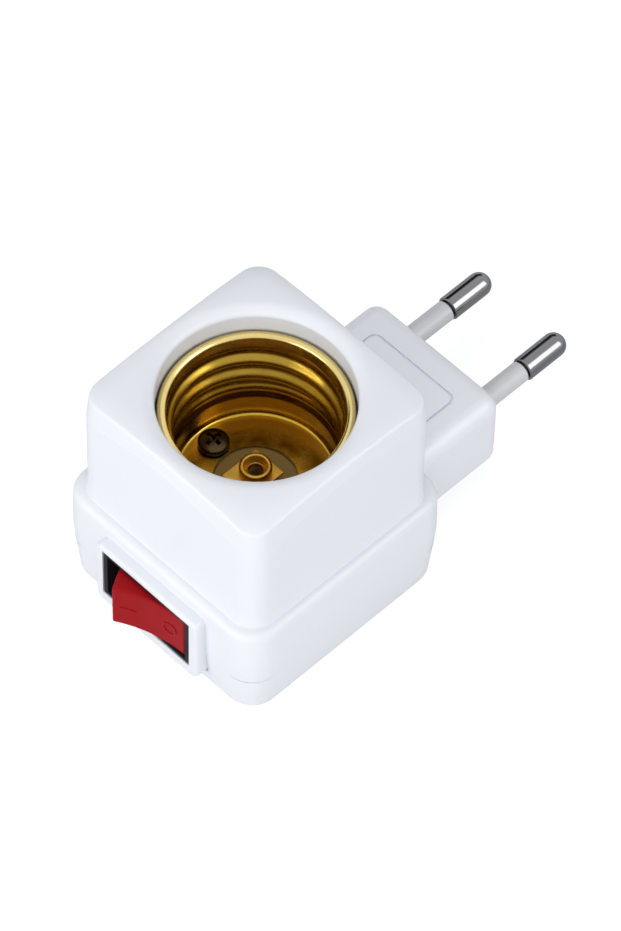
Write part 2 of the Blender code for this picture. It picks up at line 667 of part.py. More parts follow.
def build_pins(metal, sleeve_material):
    collar = PLUG_BLOCK_Y - 1.2
    collar_end = PLUG_BLOCK_Y - 0.3
    for number, side in enumerate((-1.0, 1.0)):
        centre = (side * PIN_X, 0.0, PIN_Z)
        profile = [(0.0, PLUG_BLOCK_Y - 6.2), (PIN_TAIL_R, PLUG_BLOCK_Y - 6.2), (PIN_TAIL_R, collar),
                   (PIN_COLLAR_R, collar), (PIN_COLLAR_R, collar_end), (PIN_CORE_R, collar_end),
                   (PIN_CORE_R, TIP_START_Y), (PIN_R - 0.15, TIP_START_Y), (PIN_R, TIP_START_Y + 0.15)]
        for step in range(5):
            angle = math.pi / 2 * step / 4
            radius = 0.0 if step == 4 else PIN_R * math.cos(angle)
            profile.append((radius, PIN_END_Y - TIP_DOME + TIP_DOME * math.sin(angle)))
        turned(f"pin_{number}", profile, centre, "Y", PIN_SEGMENTS, False, metal)
        start, end = PLUG_BLOCK_Y + 1.0, TIP_START_Y - 0.1
        tube_profile = ((SLEEVE_BORE_R, start), (SLEEVE_R, start), (SLEEVE_R, end), (SLEEVE_BORE_R, end))
        turned(f"pin_sleeve_{number}", tube_profile, centre, "Y", PIN_SEGMENTS, True, sleeve_material)


def build_switch_housing(material):
    z, front = SWITCH_Z, HOUSING_FRONT_Y
    x, half = HOUSING_HALF_X, HOUSING_HALF_Z
    housing = box("switch_housing", -x, x, HOUSING_BODY_Y, HOUSING_BACK_Y, z - half, z + half, material)
    half = HOUSING_RIM_HALF_Z
    add(housing, box("front_rim", -x, x, front, HOUSING_BODY_Y + 0.2, z - half, z + half))
    x, half = FLANGE_HALF_X, FLANGE_HALF_Z
    add(housing, box("flange", -x, x, FLANGE_Y, FLANGE_Y + 1.0, z - half, z + half))
    x, half, back = CAVITY_HALF_X, CAVITY_HALF_Z, HOUSING_BACK_Y - HOUSING_BACK_WALL
    cut(housing, box("hollow", -x, x, front - 1.8, back, z - half, z + half))
    reach = HOUSING_HALF_Z + 1.0
    cut(housing, rod("pivot_hole", PIVOT_HOLE_R, (0.0, PIVOT_Y, z), -reach, reach, segments=12))
    half = TERMINAL_HALF_Z + 0.4
    for at in (0.0, LOAD_X):
        wide = TERMINAL_HALF + SLOT_PLAY
        cut(housing, box("slot", at - wide, at + wide, back - 1.1, HOUSING_BACK_Y + 1.5, z - half, z + half))
    return housing


def rocker_outline():
    """Plan of the rocker about its pivot: hollow front face, flared ends, post for the plunger."""
    wide = ROCKER_HALF_X / 7.2
    face_half, face_y, hollow, steps = 5.9, -7.7, 0.85, 8
    outline = []
    for step in range(steps + 1):
        x = between(-face_half, face_half, step / steps)
        outline.append((x * wide, face_y + hollow * (1.0 - (x / face_half) ** 2)))
    flank = [(6.75, -5.1), (7.2, -3.2), (7.0, -2.2), (2.7, -1.5), (2.6, 1.2), (2.0, 3.5)]
    outline += [(x * wide, y) for x, y in flank]
    outline += [(-x * wide, y) for x, y in reversed(flank)]
    return outline


def build_rocker(material):
    place = {"location": (0.0, PIVOT_Y, SWITCH_Z), "turn_z": ROCKER_REST}
    rings = [[(x, y, z) for x, y in rocker_outline()] for z in (-ROCKER_HALF_Z, ROCKER_HALF_Z)]
    rocker = loft("rocker", rings, material, **place)
    round_edges(rocker, ROCKER_EDGE, 2, 50.0)
    reach = (CAVITY_HALF_Z + HOUSING_HALF_Z) / 2
    add(rocker, rod("stubs", PIVOT_R, (0.0, 0.0, 0.0), -reach, reach, segments=12, **place))
    cut(rocker, rod("plunger_bore", PLUNGER_BORE_R, (0.0, 0.0, 0.0), -3.0, 4.0, "Y", 12, **place))
    return rocker


def build_switch_works(steel, brass, nylon):
    place = {"location": (0.0, PIVOT_Y, SWITCH_Z), "turn_z": ROCKER_REST}
    seat, tip = 0.9, LEVER_Y - PIVOT_Y - 0.45
    profile = ((0.0, seat), (PLUNGER_R, seat), (PLUNGER_R, tip - 0.7), (PLUNGER_R - 0.25, tip - 0.2), (0.0, tip))
    turned("switch_plunger", profile, (0.0, 0.0, 0.0), "Y", 12, False, nylon, **place)
    coil_r, wire_r = PLUNGER_BORE_R - 0.43, 0.17
    low, high = -2.5, seat - 0.45
    count = SPRING_TURNS * SPRING_STEPS
    path = []
    for i in range(count + 1):
        angle = 2.0 * math.pi * i / SPRING_STEPS
        path.append((coil_r * math.cos(angle), between(low, high, i / count), coil_r * math.sin(angle)))
    tube("plunger_spring", path, wire_r, 5, steel, 1, **place)

    lever_place = {"location": (0.0, LEVER_Y, SWITCH_Z), "turn_z": LEVER_REST}
    x, thick, dip = LEVER_HALF_X, 0.25, 0.1
    outline = [(-x, -thick), (x, -thick), (x, thick), (1.2, thick), (0.8, dip), (-0.8, dip), (-1.2, thick),
               (-x, thick)]
    levels = (0.1 - TERMINAL_HALF_Z, TERMINAL_HALF_Z - 0.1)
    loft("contact_lever", [[(x, y, z) for x, y in outline] for z in levels], brass, **lever_place)

    z, half, thick = SWITCH_Z, TERMINAL_HALF_Z, TERMINAL_HALF
    box("common_terminal", -thick, thick, TERMINAL_START_Y, TERMINAL_END_Y, z - half, z + half, brass)
    x = LOAD_X
    load = box("load_terminal", x - thick, x + thick, LOAD_START_Y, TERMINAL_END_Y, z - half, z + half, brass)
    half = TERMINAL_HALF_Z - 0.2
    add(load, box("contact_pad", x - PAD_REACH, x + thick, LOAD_START_Y - 0.15, LOAD_START_Y + 0.35,
                  z - half, z + half))


def build_wires(blue, brown, black):
    start, end = PLUG_BLOCK_Y - 6.6, TERMINAL_END_Y + 0.5
    low = STRAP_Z - 1.1
    x = SHELL_SCREW_X
    neutral = [(-PIN_X, start, PIN_Z), (-PIN_X, start - 2.8, PIN_Z + 0.3),
               (-(PIN_X + x) / 2, start - 6.8, low - 0.9), (-x, start - 11.8, low)]
    tube("neutral_wire", neutral, WIRE_R, WIRE_SIDES, blue, 3)
    x, z = PIN_X, SWITCH_Z
    live = [(x, start, PIN_Z), (x, between(start, end, 0.122), PIN_Z - 0.5),
            (x * 0.795, between(start, end, 0.465), z - 2.5), (x * 0.248, between(start, end, 0.751), z - 2.3),
            (0.0, between(start, end, 0.922), z - 0.7), (0.0, end, z)]
    tube("live_wire", live, WIRE_R, WIRE_SIDES, brown, 3)
    x, rise, last = LOAD_X, LEAF_BOTTOM_Z - 1.05 - z, 4.9
    switched = [(x, end, z), (x * 0.982, between(end, last, 0.3125), z + rise * 0.127),
                (x * 0.807, between(end, last, 0.7125), z + rise * 0.43),
                (x * 0.281, between(end, last, 0.9625), z + rise * 0.684), (0.0, last, z + rise)]
    tube("switched_wire", switched, WIRE_R, WIRE_SIDES, black, 3)


def build_screws(steel):
    shank_end = PLATE_FLANGE_Z - 1.6
    for number, side in enumerate((-1.0, 1.0)):
        cross_screw(f"shell_screw_{number}", side * SHELL_SCREW_X, 0.0, SHELL_FLOOR_Z + 0.3, SHELL_SCREW_HEAD_R,
                    SHELL_SCREW_HEAD, SHELL_SCREW_R, shank_end, steel, 16)
        cross_screw(f"plate_screw_{number}", side * PLATE_SCREW_X, 0.0, PLATE_FLANGE_Z - 0.3,
                    SMALL_SCREW_HEAD_R, SMALL_SCREW_HEAD, SMALL_SCREW_R, DECK_Z + 4.9, steel)
    cross_screw("centre_screw", 0.0, CENTRE_SCREW_Y, LEAF_BOTTOM_Z - 0.5, SMALL_SCREW_HEAD_R,
                SMALL_SCREW_HEAD - 0.1, SMALL_SCREW_R, PLATE_FLANGE_Z + 2.5, steel)
    for number, (x, y) in enumerate(CASE_SCREWS):
        cross_screw(f"case_screw_{number}", x, y, CASE_SCREW_SEAT_Z, SHELL_SCREW_HEAD_R, SHELL_SCREW_HEAD,
                    CASE_SCREW_R, DECK_Z - 5.1, steel)


def main():
    remove_everything()
    white = make_material("white_plastic", (0.80, 0.81, 0.84), 0.0, 0.3)
    resin = make_material("plate_resin", (0.20, 0.17, 0.13), 0.0, 0.5)
    brass = make_material("brass", (0.72, 0.50, 0.16), 1.0, 0.25)
    nickel = make_material("nickel", (0.62, 0.61, 0.58), 1.0, 0.15)
    steel = make_material("steel", (0.40, 0.38, 0.34), 1.0, 0.35)
    sleeve = make_material("sleeve_plastic", (0.42, 0.42, 0.42), 0.0, 0.4)
    black = make_material("black_plastic", (0.012, 0.012, 0.015), 0.0, 0.4)
    red = make_material("red_plastic", (0.42, 0.012, 0.018), 0.0, 0.3)
    nylon = make_material("nylon", (0.55, 0.54, 0.50), 0.0, 0.5)
    blue = make_material("blue_insulation", (0.02, 0.12, 0.42), 0.0, 0.45)
    brown = make_material("brown_insulation", (0.14, 0.06, 0.03), 0.0, 0.45)
    dark = make_material("black_insulation", (0.02, 0.02, 0.02), 0.0, 0.45)

    build_upper_cover(white)
    build_lower_cover(white)
    build_screw_shell(brass)
    build_contact_plate(resin)
    build_centre_contact(brass)
    build_shell_strap(brass)
    build_screws(steel)
    build_pins(nickel, sleeve)
    build_switch_housing(black)
    build_rocker(red)
    build_switch_works(steel, brass, nylon)
    build_wires(blue, brown, dark)


main()
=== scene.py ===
"""Looks of the switched plug-in lamp socket: fine shapes, materials, camera, light and stage.

Lengths are in millimetres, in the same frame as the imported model, and become metres in make_object.
Distances of the camera and the lamps are in metres.
"""
import math

import bmesh
import bpy
from mathutils import Matrix, Vector


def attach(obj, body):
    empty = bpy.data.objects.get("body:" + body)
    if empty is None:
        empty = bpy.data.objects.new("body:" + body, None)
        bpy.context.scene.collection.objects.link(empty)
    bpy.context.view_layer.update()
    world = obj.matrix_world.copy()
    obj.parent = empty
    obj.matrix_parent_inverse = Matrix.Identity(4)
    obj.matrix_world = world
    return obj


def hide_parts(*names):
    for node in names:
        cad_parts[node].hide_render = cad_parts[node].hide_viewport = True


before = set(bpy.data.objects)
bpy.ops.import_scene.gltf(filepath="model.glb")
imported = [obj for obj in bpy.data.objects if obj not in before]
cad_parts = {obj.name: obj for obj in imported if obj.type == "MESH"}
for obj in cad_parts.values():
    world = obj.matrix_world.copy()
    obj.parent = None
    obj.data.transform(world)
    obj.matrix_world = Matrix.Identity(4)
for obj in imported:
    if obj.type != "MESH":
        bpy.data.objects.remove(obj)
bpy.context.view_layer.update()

MM = 0.001

# Camera, matched to the picture's frame
IMAGE_WIDTH = 621
IMAGE_HEIGHT = 931
CAMERA_AZIMUTH = 45.32
CAMERA_ELEVATION = 54.57
CAMERA_ROLL = -0.78
CAMERA_DISTANCE = 0.9
FOCAL_PIXELS = 6048.1
AIM_HEIGHT = 0.020
AIM_PIXEL_X = 255.65
AIM_PIXEL_Y = 486.59
SENSOR_LONG_SIDE = 36.0

# Fineness of curves, and how far a cutter reaches past the surface it opens
CORNER_STEPS = 12
SIDE_STEPS = 16
EDGE_STEPS = 9
SEAM_STEPS = 4
FOOT_STEPS = 8
FRAME_STEPS = 7
PAST = 1.0

# Upper cover: skirt, shoulder and tower
TOP_Z = 43.0
TOWER_HALF = 18.8
TOWER_CORNER = 4.0
FOOT_FLARE = 0.35
FOOT_RISE = 2.2
SHOULDER_Z = 19.4
SHOULDER_EDGE = 1.5
FOOT_Z = SHOULDER_Z + 0.02
SKIRT_HALF = 20.75
SKIRT_CORNER = 5.0
SHOULDER_HALF = SKIRT_HALF - 0.1
# Half width of the slightly bulging skirt at five heights
SKIRT_SIDE = ((20.6, 8.6), (20.69, 9.8), (SKIRT_HALF, 11.6), (20.73, 14.0), (20.69, 16.2))

# Seam between the covers
SEAM_HALF = 20.5
SEAM_Z = 7.6
SEAM_GAP = 0.05
SEAM_EDGE = 0.03

# Top of the tower: it falls away outside a round crest, and each side face ends in an arch
CREST_R = 16.8
CREST_MARGIN = 0.2
CROWN_CURVE = 0.013
CROWN_EDGE = 3.4
CROWN_STEP = 0.2
CROWN_STEP_GAIN = 0.8
ARCH_DROP = 2.5
ARCH_GAIN = 4.1
ARCH_FLATNESS = 0.25
ARCH_INSET = 0.65
ARCH_INSET_LOSS = 0.25
FOLD_SOFTNESS = 0.25
ARRIS_SOFTNESS = 0.45

# Mouth and hollows
MOUTH_R = 14.95
MOUTH_LOW_Z = 16.0
LIP_WIDTH = 2.2
LIP_DROP = 1.2
LIP_TURN = math.radians(88.0)
LIP_STEPS = 12
HOLLOW_HALF = 18.4
HOLLOW_CORNER = 3.2
DECK_Z = 17.6

# Lower cover
LOWER_HALF = 20.48
LOWER_CORNER = 4.6
BOTTOM_EDGE = 0.9
DRAFT = 0.5
FLOOR_Z = 2.0
LOWER_HOLLOW_HALF = 17.9
LOWER_HOLLOW_CORNER = 3.0
TONGUE_HALF = 18.05
TONGUE_CORNER = 2.9
TONGUE_INNER_HALF = 16.95
TONGUE_INNER_CORNER = 2.6
TONGUE_TOP_Z = 9.2
LOWER_CUT_Z = 9.0

# Plug body
PLUG_HALF_X = 13.6
PLUG_ROOT_Y = 12.0
PLUG_END_Y = 39.0
PLUG_TOP_Z = 18.8
PLUG_BOTTOM_Z = 4.4
PLUG_EDGE = 2.6
PLUG_BOTTOM_EDGE = 1.4
PLUG_LOWER_INSET = 0.05
PLUG_BLOCK_Y = 28.0
PLUG_WALL = 2.2
PANEL_HALF_X = 8.85
PANEL_START_Y = 21.4
PANEL_END_Y = 33.8
PANEL_CORNER = 1.5
PANEL_DEPTH = 0.4
GROOVE_WIDTH = 0.45

# Pins
PIN_X = 8.05
PIN_Z = 11.1
PIN_START_Y = 21.8
PIN_END_Y = 57.8
PIN_R = 2.0
PIN_CORE_R = 1.25
PIN_TIP = 1.95
SLEEVE_R = 1.75
SLEEVE_BORE_R = 1.4
SLEEVE_START_Y = 29.0
TIP_START_Y = 49.05

# Socket
SHELL_FLOOR_Z = 21.5
SHELL_WALL_R = 12.4
SHELL_CORNER = 0.7
SHEET = 0.45
THREAD_PITCH = 3.629
THREAD_MEAN_R = 12.78
THREAD_DEPTH = 0.52
THREAD_CREST_Z = 32.63
THREAD_LOW_Z = 26.6
THREAD_HIGH_Z = 36.9
THREAD_FADE = 1.3
SHELL_HOLE_R = 6.5
SHELL_SCREW_X = 9.0
PLATE_R = 14.2
PLATE_FLANGE_R = 15.8
PLATE_TOP_Z = 20.75
PLATE_FLANGE_Z = 16.0
PLATE_FLANGE_TOP_Z = 17.3
PLATE_SCREW_X = 16.2
LEAF_TOP_Z = 23.45
LEAF_BOTTOM_Z = 15.5
CENTRE_SCREW_Y = 1.5

# Switch; cutters on its side start in front of its frame
SWITCH_CUT_Y = -24.0
FRAME_FRONT_Y = -22.6
FRAME_BACK_Y = -17.0
FRAME_HALF_X = 10.85
FRAME_HALF_Z = 6.9
FRAME_Z = 9.8
FRAME_EDGE = 0.6
FRAME_CORNER = 1.2
SWITCH_Z = 10.5
PIVOT_Y = -16.6
ROCKER_REST = math.radians(17.0)
ROCKER_HALF_Z = 4.3
FACE_LEFT = -6.4
FACE_RIGHT = 5.95
FACE_Y = -7.7
FACE_HOLLOW = 0.85

# Boxes: half width in x, then their limits along y and z
PLUG_HOLLOW = (11.3, 17.0, PLUG_BLOCK_Y, SEAM_Z - PAST, PLUG_TOP_Z - PLUG_WALL)
OPENING = (9.3, SWITCH_CUT_Y, -19.0, SWITCH_Z - 5.3, SWITCH_Z + 5.3)
FRAME_HOLLOW = (10.1, -20.4, -16.0, SWITCH_Z - 5.8, SWITCH_Z + 5.8)
PLUG_CHANNEL = (11.0, 15.0, PLUG_BLOCK_Y, 6.2, LOWER_CUT_Z)
RIB = (10.9, 25.0, 26.4, 5.6, 13.0)
RIB_SLOT = (1.7, 24.0, 27.0, TONGUE_TOP_Z, 14.0)
SWITCH_STOP = (7.0, -6.9, -5.7, 1.0, 8.0)
FRAME_NOTCH = (10.88, SWITCH_CUT_Y, -16.4, 2.87, 12.0)
PLATE_EARS = (18.0, -3.0, 3.0, PLATE_FLANGE_Z + 0.05, PLATE_FLANGE_TOP_Z - 0.05)
LEAF_SLOT = (3.4, -5.1, -4.0, PLATE_FLANGE_Z - PAST, 22.0)
HOUSING = (9.15, -19.5, -7.5, SWITCH_Z - 5.2, SWITCH_Z + 5.2)
HOUSING_RIM = (9.15, -22.5, -19.3, SWITCH_Z - 5.15, SWITCH_Z + 5.15)
HOUSING_FLANGE = (9.85, -20.1, -19.1, SWITCH_Z - 5.55, SWITCH_Z + 5.55)
HOUSING_HOLLOW = (8.35, SWITCH_CUT_Y, -8.9, SWITCH_Z - 4.6, SWITCH_Z + 4.6)
TERMINAL_SLOT = (0.75, -10.0, -6.0, SWITCH_Z - 2.4, SWITCH_Z + 2.4)
LOAD_TERMINAL_X = 5.7

# Round posts and holes: radius, lower end and upper end
PIN_BORE = (2.1, PLUG_BLOCK_Y - PAST, 41.0)
PILOT = (0.8, DECK_Z - PAST, 24.0)
POST = (2.7, 4.4, DECK_Z + 0.5)
POST_BORE = (0.85, 4.0, 14.0)
BOSS = (3.0, 1.0, 4.0)
COUNTERBORE = (2.6, -PAST, 1.9)
CASE_SCREW_HOLE = (1.3, 1.0, 5.0)
SHELL_SCREW_HOLE = (1.45, PLATE_FLANGE_Z - PAST, SHELL_FLOOR_Z + PAST)
PLATE_SCREW_HOLE = (1.25, PLATE_FLANGE_Z - PAST, 22.0)
CENTRE_PILOT = (0.8, PLATE_FLANGE_Z - PAST, 19.0)
CENTRE_SCREW_HOLE = (1.15, 15.0, 16.0)
EYELET_R = 1.15
EYELET_HOLE = (EYELET_R, 23.0, 25.6)
PIVOT_HOLE = (1.0, -6.0, 6.0)
PIVOT_STUBS = (0.75, -4.9, 4.9)
PLUNGER_BORE = (1.15, -3.0, 4.0)

# Screws: seat height, head radius, head height, shank radius and height of the shank's end
SHELL_SCREW = (SHELL_FLOOR_Z + 0.3, 2.4, 1.3, 1.1, 14.4)
PLATE_SCREW = (PLATE_FLANGE_Z - 0.3, 1.9, 1.1, 0.65, 22.5)
CENTRE_SCREW = (15.0, 1.9, 1.0, 0.65, 18.5)
CASE_SCREW = (1.6, 2.25, 1.3, 0.7, 12.5)
# The case screws stand at two opposite corners
CASE_SCREWS = ((13.9, 13.9), (-13.9, -13.9))

# Part of a noise texture's range that its blends use
NOISE_LOW = 0.35
NOISE_HIGH = 0.65


def make_object(name, points, faces, location=(0.0, 0.0, 0.0), turn_z=0.0):
    """A mesh object from points in millimetres, with its faces turned outwards."""
    mesh = bpy.data.meshes.new(name)
    mesh.from_pydata([(x * MM, y * MM, z * MM) for x, y, z in points], [], faces)
    work = bmesh.new()
    work.from_mesh(mesh)
    bmesh.ops.recalc_face_normals(work, faces=work.faces)
    work.to_mesh(mesh)
    work.free()
    item = bpy.data.objects.new(name, mesh)
    item.location = [value * MM for value in location]
    item.rotation_euler = (0.0, 0.0, turn_z)
    bpy.context.scene.collection.objects.link(item)
    return item


def quarter_turn(steps):
    """Angles from 0 to 90 degrees in even steps."""
    return [math.pi / 2 * step / steps for step in range(steps + 1)]


def rounded_outline(x0, x1, y0, y1, radius, steps=CORNER_STEPS):
    """Anticlockwise outline of a rectangle whose corners are rounded."""
    outline = []
    centres = ((x1 - radius, y1 - radius), (x0 + radius, y1 - radius),
               (x0 + radius, y0 + radius), (x1 - radius, y0 + radius))
    for quarter, (cx, cy) in enumerate(centres):
        for step in range(steps + 1):
            angle = (quarter + step / steps) * math.pi / 2
            outline.append((cx + radius * math.cos(angle), cy + radius * math.sin(angle)))
    return outline


def loft(name, rings, **place):
    """A closed solid through rings that all have the same number of points."""
    count = len(rings[0])
    points = [point for ring in rings for point in ring]
    faces = [tuple(range(count))[::-1], tuple(range(count * (len(rings) - 1), count * len(rings)))]
    for level in range(len(rings) - 1):
        base = level * count
        for i in range(count):
            j = (i + 1) % count
            faces.append((base + i, base + j, base + count + j, base + count + i))
    return make_object(name, points, faces, **place)


def upright_ring(half, radius, z):
    """A rounded square at one height."""
    return [(x, y, z) for x, y in rounded_outline(-half, half, -half, half, radius)]


def fine_outline(half, radius):
    """Outline with points along its straight sides as well, each with the direction it faces."""
    flat = half - radius
    side = []
    for angle in quarter_turn(CORNER_STEPS):
        c, s = math.cos(angle), math.sin(angle)
        side.append((flat + radius * c, flat + radius * s, c, s))
    for step in range(1, SIDE_STEPS):
        side.append((flat - 2.0 * flat * step / SIDE_STEPS, half, 0.0, 1.0))
    points = []
    for c, s in ((1, 0), (0, 1), (-1, 0), (0, -1)):
        points += [(x * c - y * s, x * s + y * c, nx * c - ny * s, nx * s + ny * c)
                   for x, y, nx, ny in side]
    return points


def fine_ring(half, radius, z):
    """A rounded square at one height, with points along its straight sides."""
    return [(x, y, z) for x, y, nx, ny in fine_outline(half, radius)]


def box(name, half_x, y0, y1, z0, z1, x=0.0):
    """A box centred on x, given by its half width and its limits along y and z."""
    x0, x1 = x - half_x, x + half_x
    rings = [[(x0, y0, z), (x1, y0, z), (x1, y1, z), (x0, y1, z)] for z in (z0, z1)]
    return loft(name, rings)


def turned(name, profile, centre=(0.0, 0.0, 0.0), axis="Z", segments=96, closed=False, **place):
    """A turned solid: profile points are (radius, height along the axis)."""
    points = []
    rows = []
    for radius, height in profile:
        row = []
        for i in range(1 if radius == 0.0 else segments):
            angle = 2.0 * math.pi * (i + 0.5) / segments
            a, b = radius * math.cos(angle), radius * math.sin(angle)
            if axis == "Z":
                point = (centre[0] + a, centre[1] + b, centre[2] + height)
            else:
                point = (centre[0] + a, centre[1] + height, centre[2] + b)
            row.append(len(points))
            points.append(point)
        rows.append(row)
    faces = []
    pairs = list(zip(rows, rows[1:]))
    if closed:
        pairs.append((rows[-1], rows[0]))
    for low, high in pairs:
        for i in range(segments):
            j = (i + 1) % segments
            corners = [low[i % len(low)], low[j % len(low)], high[j % len(high)], high[i % len(high)]]
            face = [corner for k, corner in enumerate(corners) if corner not in corners[:k]]
            if len(face) > 2:
                faces.append(tuple(face))
    if not closed and len(rows[0]) > 1:
        faces.append(tuple(rows[0]))
    if not closed and len(rows[-1]) > 1:
        faces.append(tuple(rows[-1]))
    return make_object(name, points, faces, **place)


def rod(name, size, centre, axis="Z", segments=48, **place):
    """A cylinder; size holds its radius and the heights of its two ends along the axis."""
    radius, low, high = size
    return turned(name, ((radius, low), (radius, high)), centre, axis, segments, False, **place)


def join_shapes(target, other, operation):
    """Adds or cuts one solid and removes the helper afterwards."""
    modifier = target.modifiers.new("shape", "BOOLEAN")
    modifier.solver = "EXACT"
    modifier.operation = operation
    modifier.object = other
    bpy.context.view_layer.objects.active = target
    bpy.ops.object.modifier_apply(modifier=modifier.name)
    bpy.data.objects.remove(other, do_unlink=True)


def add(target, *others):
    for other in others:
        join_shapes(target, other, "UNION")


def cut(target, *others):
    for other in others:
        join_shapes(target, other, "DIFFERENCE")


def round_edges(item, width, segments, angle=50.0):
    """Rounds the edges that turn by more than the angle."""
    modifier = item.modifiers.new("edges", "BEVEL")
    modifier.width = width * MM
    modifier.segments = segments
    modifier.limit_method = "ANGLE"
    modifier.angle_limit = math.radians(angle)
    bpy.context.view_layer.objects.active = item
    bpy.ops.object.modifier_apply(modifier=modifier.name)


def edge_steps(radius, steps=EDGE_STEPS):
    """How far in and how far below the top each ring of a rounded edge lies."""
    return [(radius * (1.0 - math.cos(angle)), radius * (1.0 - math.sin(angle)))
            for angle in quarter_turn(steps)]


def bend(start, corner, end, steps):
    """A smooth turn from one point of a profile to another, drawn towards a corner point."""
    points = []
    for step in range(steps + 1):
        share = step / steps
        points.append(tuple(a * (1.0 - share) ** 2 + 2.0 * b * share * (1.0 - share) + c * share ** 2
                            for a, b, c in zip(start, corner, end)))
    return points


def arc(centre, radius, start, end, steps):
    """Points on an arc of a profile, with angles in degrees from the radial direction."""
    points = []
    for step in range(steps + 1):
        angle = math.radians(start + (end - start) * step / steps)
        points.append((centre[0] + radius * math.cos(angle), centre[1] + radius * math.sin(angle)))
    return points


def finish_piece(item, body, slot, material, *nodes, sharp=32.0):
    """Smooth shading with flat faces kept flat, then the piece's body, material and CAD nodes; the slot is
    not used.
    """
    item.data.materials.clear()
    item.data.materials.append(material)
    item.data.shade_smooth()
    item.data.set_sharp_from_angle(angle=math.radians(sharp))
    weights = item.modifiers.new("flat faces", "WEIGHTED_NORMAL")
    weights.mode = "FACE_AREA"
    weights.keep_sharp = True
    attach(item, body)
    if nodes:
        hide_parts(*nodes)


def principled(name, colour, metallic, roughness, specular=0.5):
    """A material with its node tree and its Principled BSDF."""
    material = bpy.data.materials.new(name)
    material.use_nodes = True
    tree = material.node_tree
    shader = tree.nodes["Principled BSDF"]
    shader.inputs["Base Color"].default_value = (*colour, 1.0)
    shader.inputs["Metallic"].default_value = metallic
    shader.inputs["Roughness"].default_value = roughness
    shader.inputs["Specular IOR Level"].default_value = specular
    return material, tree, shader


def noise(tree, scale, detail=3.0, stretch=(1.0, 1.0, 1.0)):
    """A noise texture in object space; scale is in features per metre."""
    place = tree.nodes.new("ShaderNodeTexCoord")
    mapping = tree.nodes.new("ShaderNodeMapping")
    mapping.inputs["Scale"].default_value = stretch
    texture = tree.nodes.new("ShaderNodeTexNoise")
    texture.inputs["Scale"].default_value = scale
    texture.inputs["Detail"].default_value = detail
    tree.links.new(place.outputs["Object"], mapping.inputs["Vector"])
    tree.links.new(mapping.outputs["Vector"], texture.inputs["Vector"])
    return texture


def blend_colours(tree, factor, low, high):
    """A colour that runs from low to high with the factor."""
    ramp = tree.nodes.new("ShaderNodeValToRGB")
    ends = zip(ramp.color_ramp.elements, (NOISE_LOW, NOISE_HIGH), (low, high))
    for end, position, colour in ends:
        end.position = position
        end.color = (*colour, 1.0)
    tree.links.new(factor, ramp.inputs["Fac"])
    return ramp.outputs["Color"]


def vary_roughness(tree, shader, factor, roughness, spread):
    """Lets the roughness wander around its value by a share of it."""
    span = tree.nodes.new("ShaderNodeMapRange")
    span.inputs["From Min"].default_value = NOISE_LOW
    span.inputs["From Max"].default_value = NOISE_HIGH
    span.inputs["To Min"].default_value = roughness * (1.0 - spread)
    span.inputs["To Max"].default_value = roughness * (1.0 + spread)
    tree.links.new(factor, span.inputs["Value"])
    tree.links.new(span.outputs["Result"], shader.inputs["Roughness"])


def add_bump(tree, shader, height, strength, distance):
    """A fine surface relief; distance in millimetres."""
    bump = tree.nodes.new("ShaderNodeBump")
    bump.inputs["Strength"].default_value = strength
    bump.inputs["Distance"].default_value = distance * MM
    tree.links.new(height, bump.inputs["Height"])
    tree.links.new(bump.outputs["Normal"], shader.inputs["Normal"])


def plastic(name, colour, darker, roughness, grain=900.0, bump=0.004, specular=0.5, clouds=60.0,
            spread=0.15):
    """Moulded plastic: slight cloudiness, uneven gloss and a faint orange-peel surface."""
    material, tree, shader = principled(name, colour, 0.0, roughness, specular)
    detail, finer, relief = 2.0, 3.5, 0.3
    cloud = noise(tree, clouds, detail)
    tree.links.new(blend_colours(tree, cloud.outputs["Fac"], darker, colour), shader.inputs["Base Color"])
    gloss = noise(tree, clouds * finer, detail)
    vary_roughness(tree, shader, gloss.outputs["Fac"], roughness, spread)
    if bump:
        peel = noise(tree, grain, detail)
        add_bump(tree, shader, peel.outputs["Fac"], relief, bump)
    return material


def paint_colour_and_shade_by_height(material, stops, low, high):
    """Multiplies the base colour by a tint that runs over the object's height; here the tint carries painted
    shade and a painted highlight.
    """
    tree = material.node_tree
    shader = tree.nodes["Principled BSDF"]
    place = tree.nodes.new("ShaderNodeTexCoord")
    parts = tree.nodes.new("ShaderNodeSeparateXYZ")
    span = tree.nodes.new("ShaderNodeMapRange")
    span.inputs["From Min"].default_value = low * MM
    span.inputs["From Max"].default_value = high * MM
    ramp = tree.nodes.new("ShaderNodeValToRGB")
    marks = ramp.color_ramp.elements
    while len(marks) < len(stops):
        marks.new(0.5)
    for mark, (height, colour) in zip(marks, stops):
        mark.position = (height - low) / (high - low)
        mark.color = (*colour, 1.0)
    mix = tree.nodes.new("ShaderNodeMix")
    mix.data_type = "RGBA"
    mix.blend_type = "MULTIPLY"
    mix.inputs["Factor"].default_value = 1.0
    source = shader.inputs["Base Color"].links[0].from_socket
    tree.links.new(place.outputs["Object"], parts.inputs["Vector"])
    tree.links.new(parts.outputs["Z"], span.inputs["Value"])
    tree.links.new(span.outputs["Result"], ramp.inputs["Fac"])
    tree.links.new(source, mix.inputs["A"])
    tree.links.new(ramp.outputs["Color"], mix.inputs["B"])
    tree.links.new(mix.outputs["Result"], shader.inputs["Base Color"])


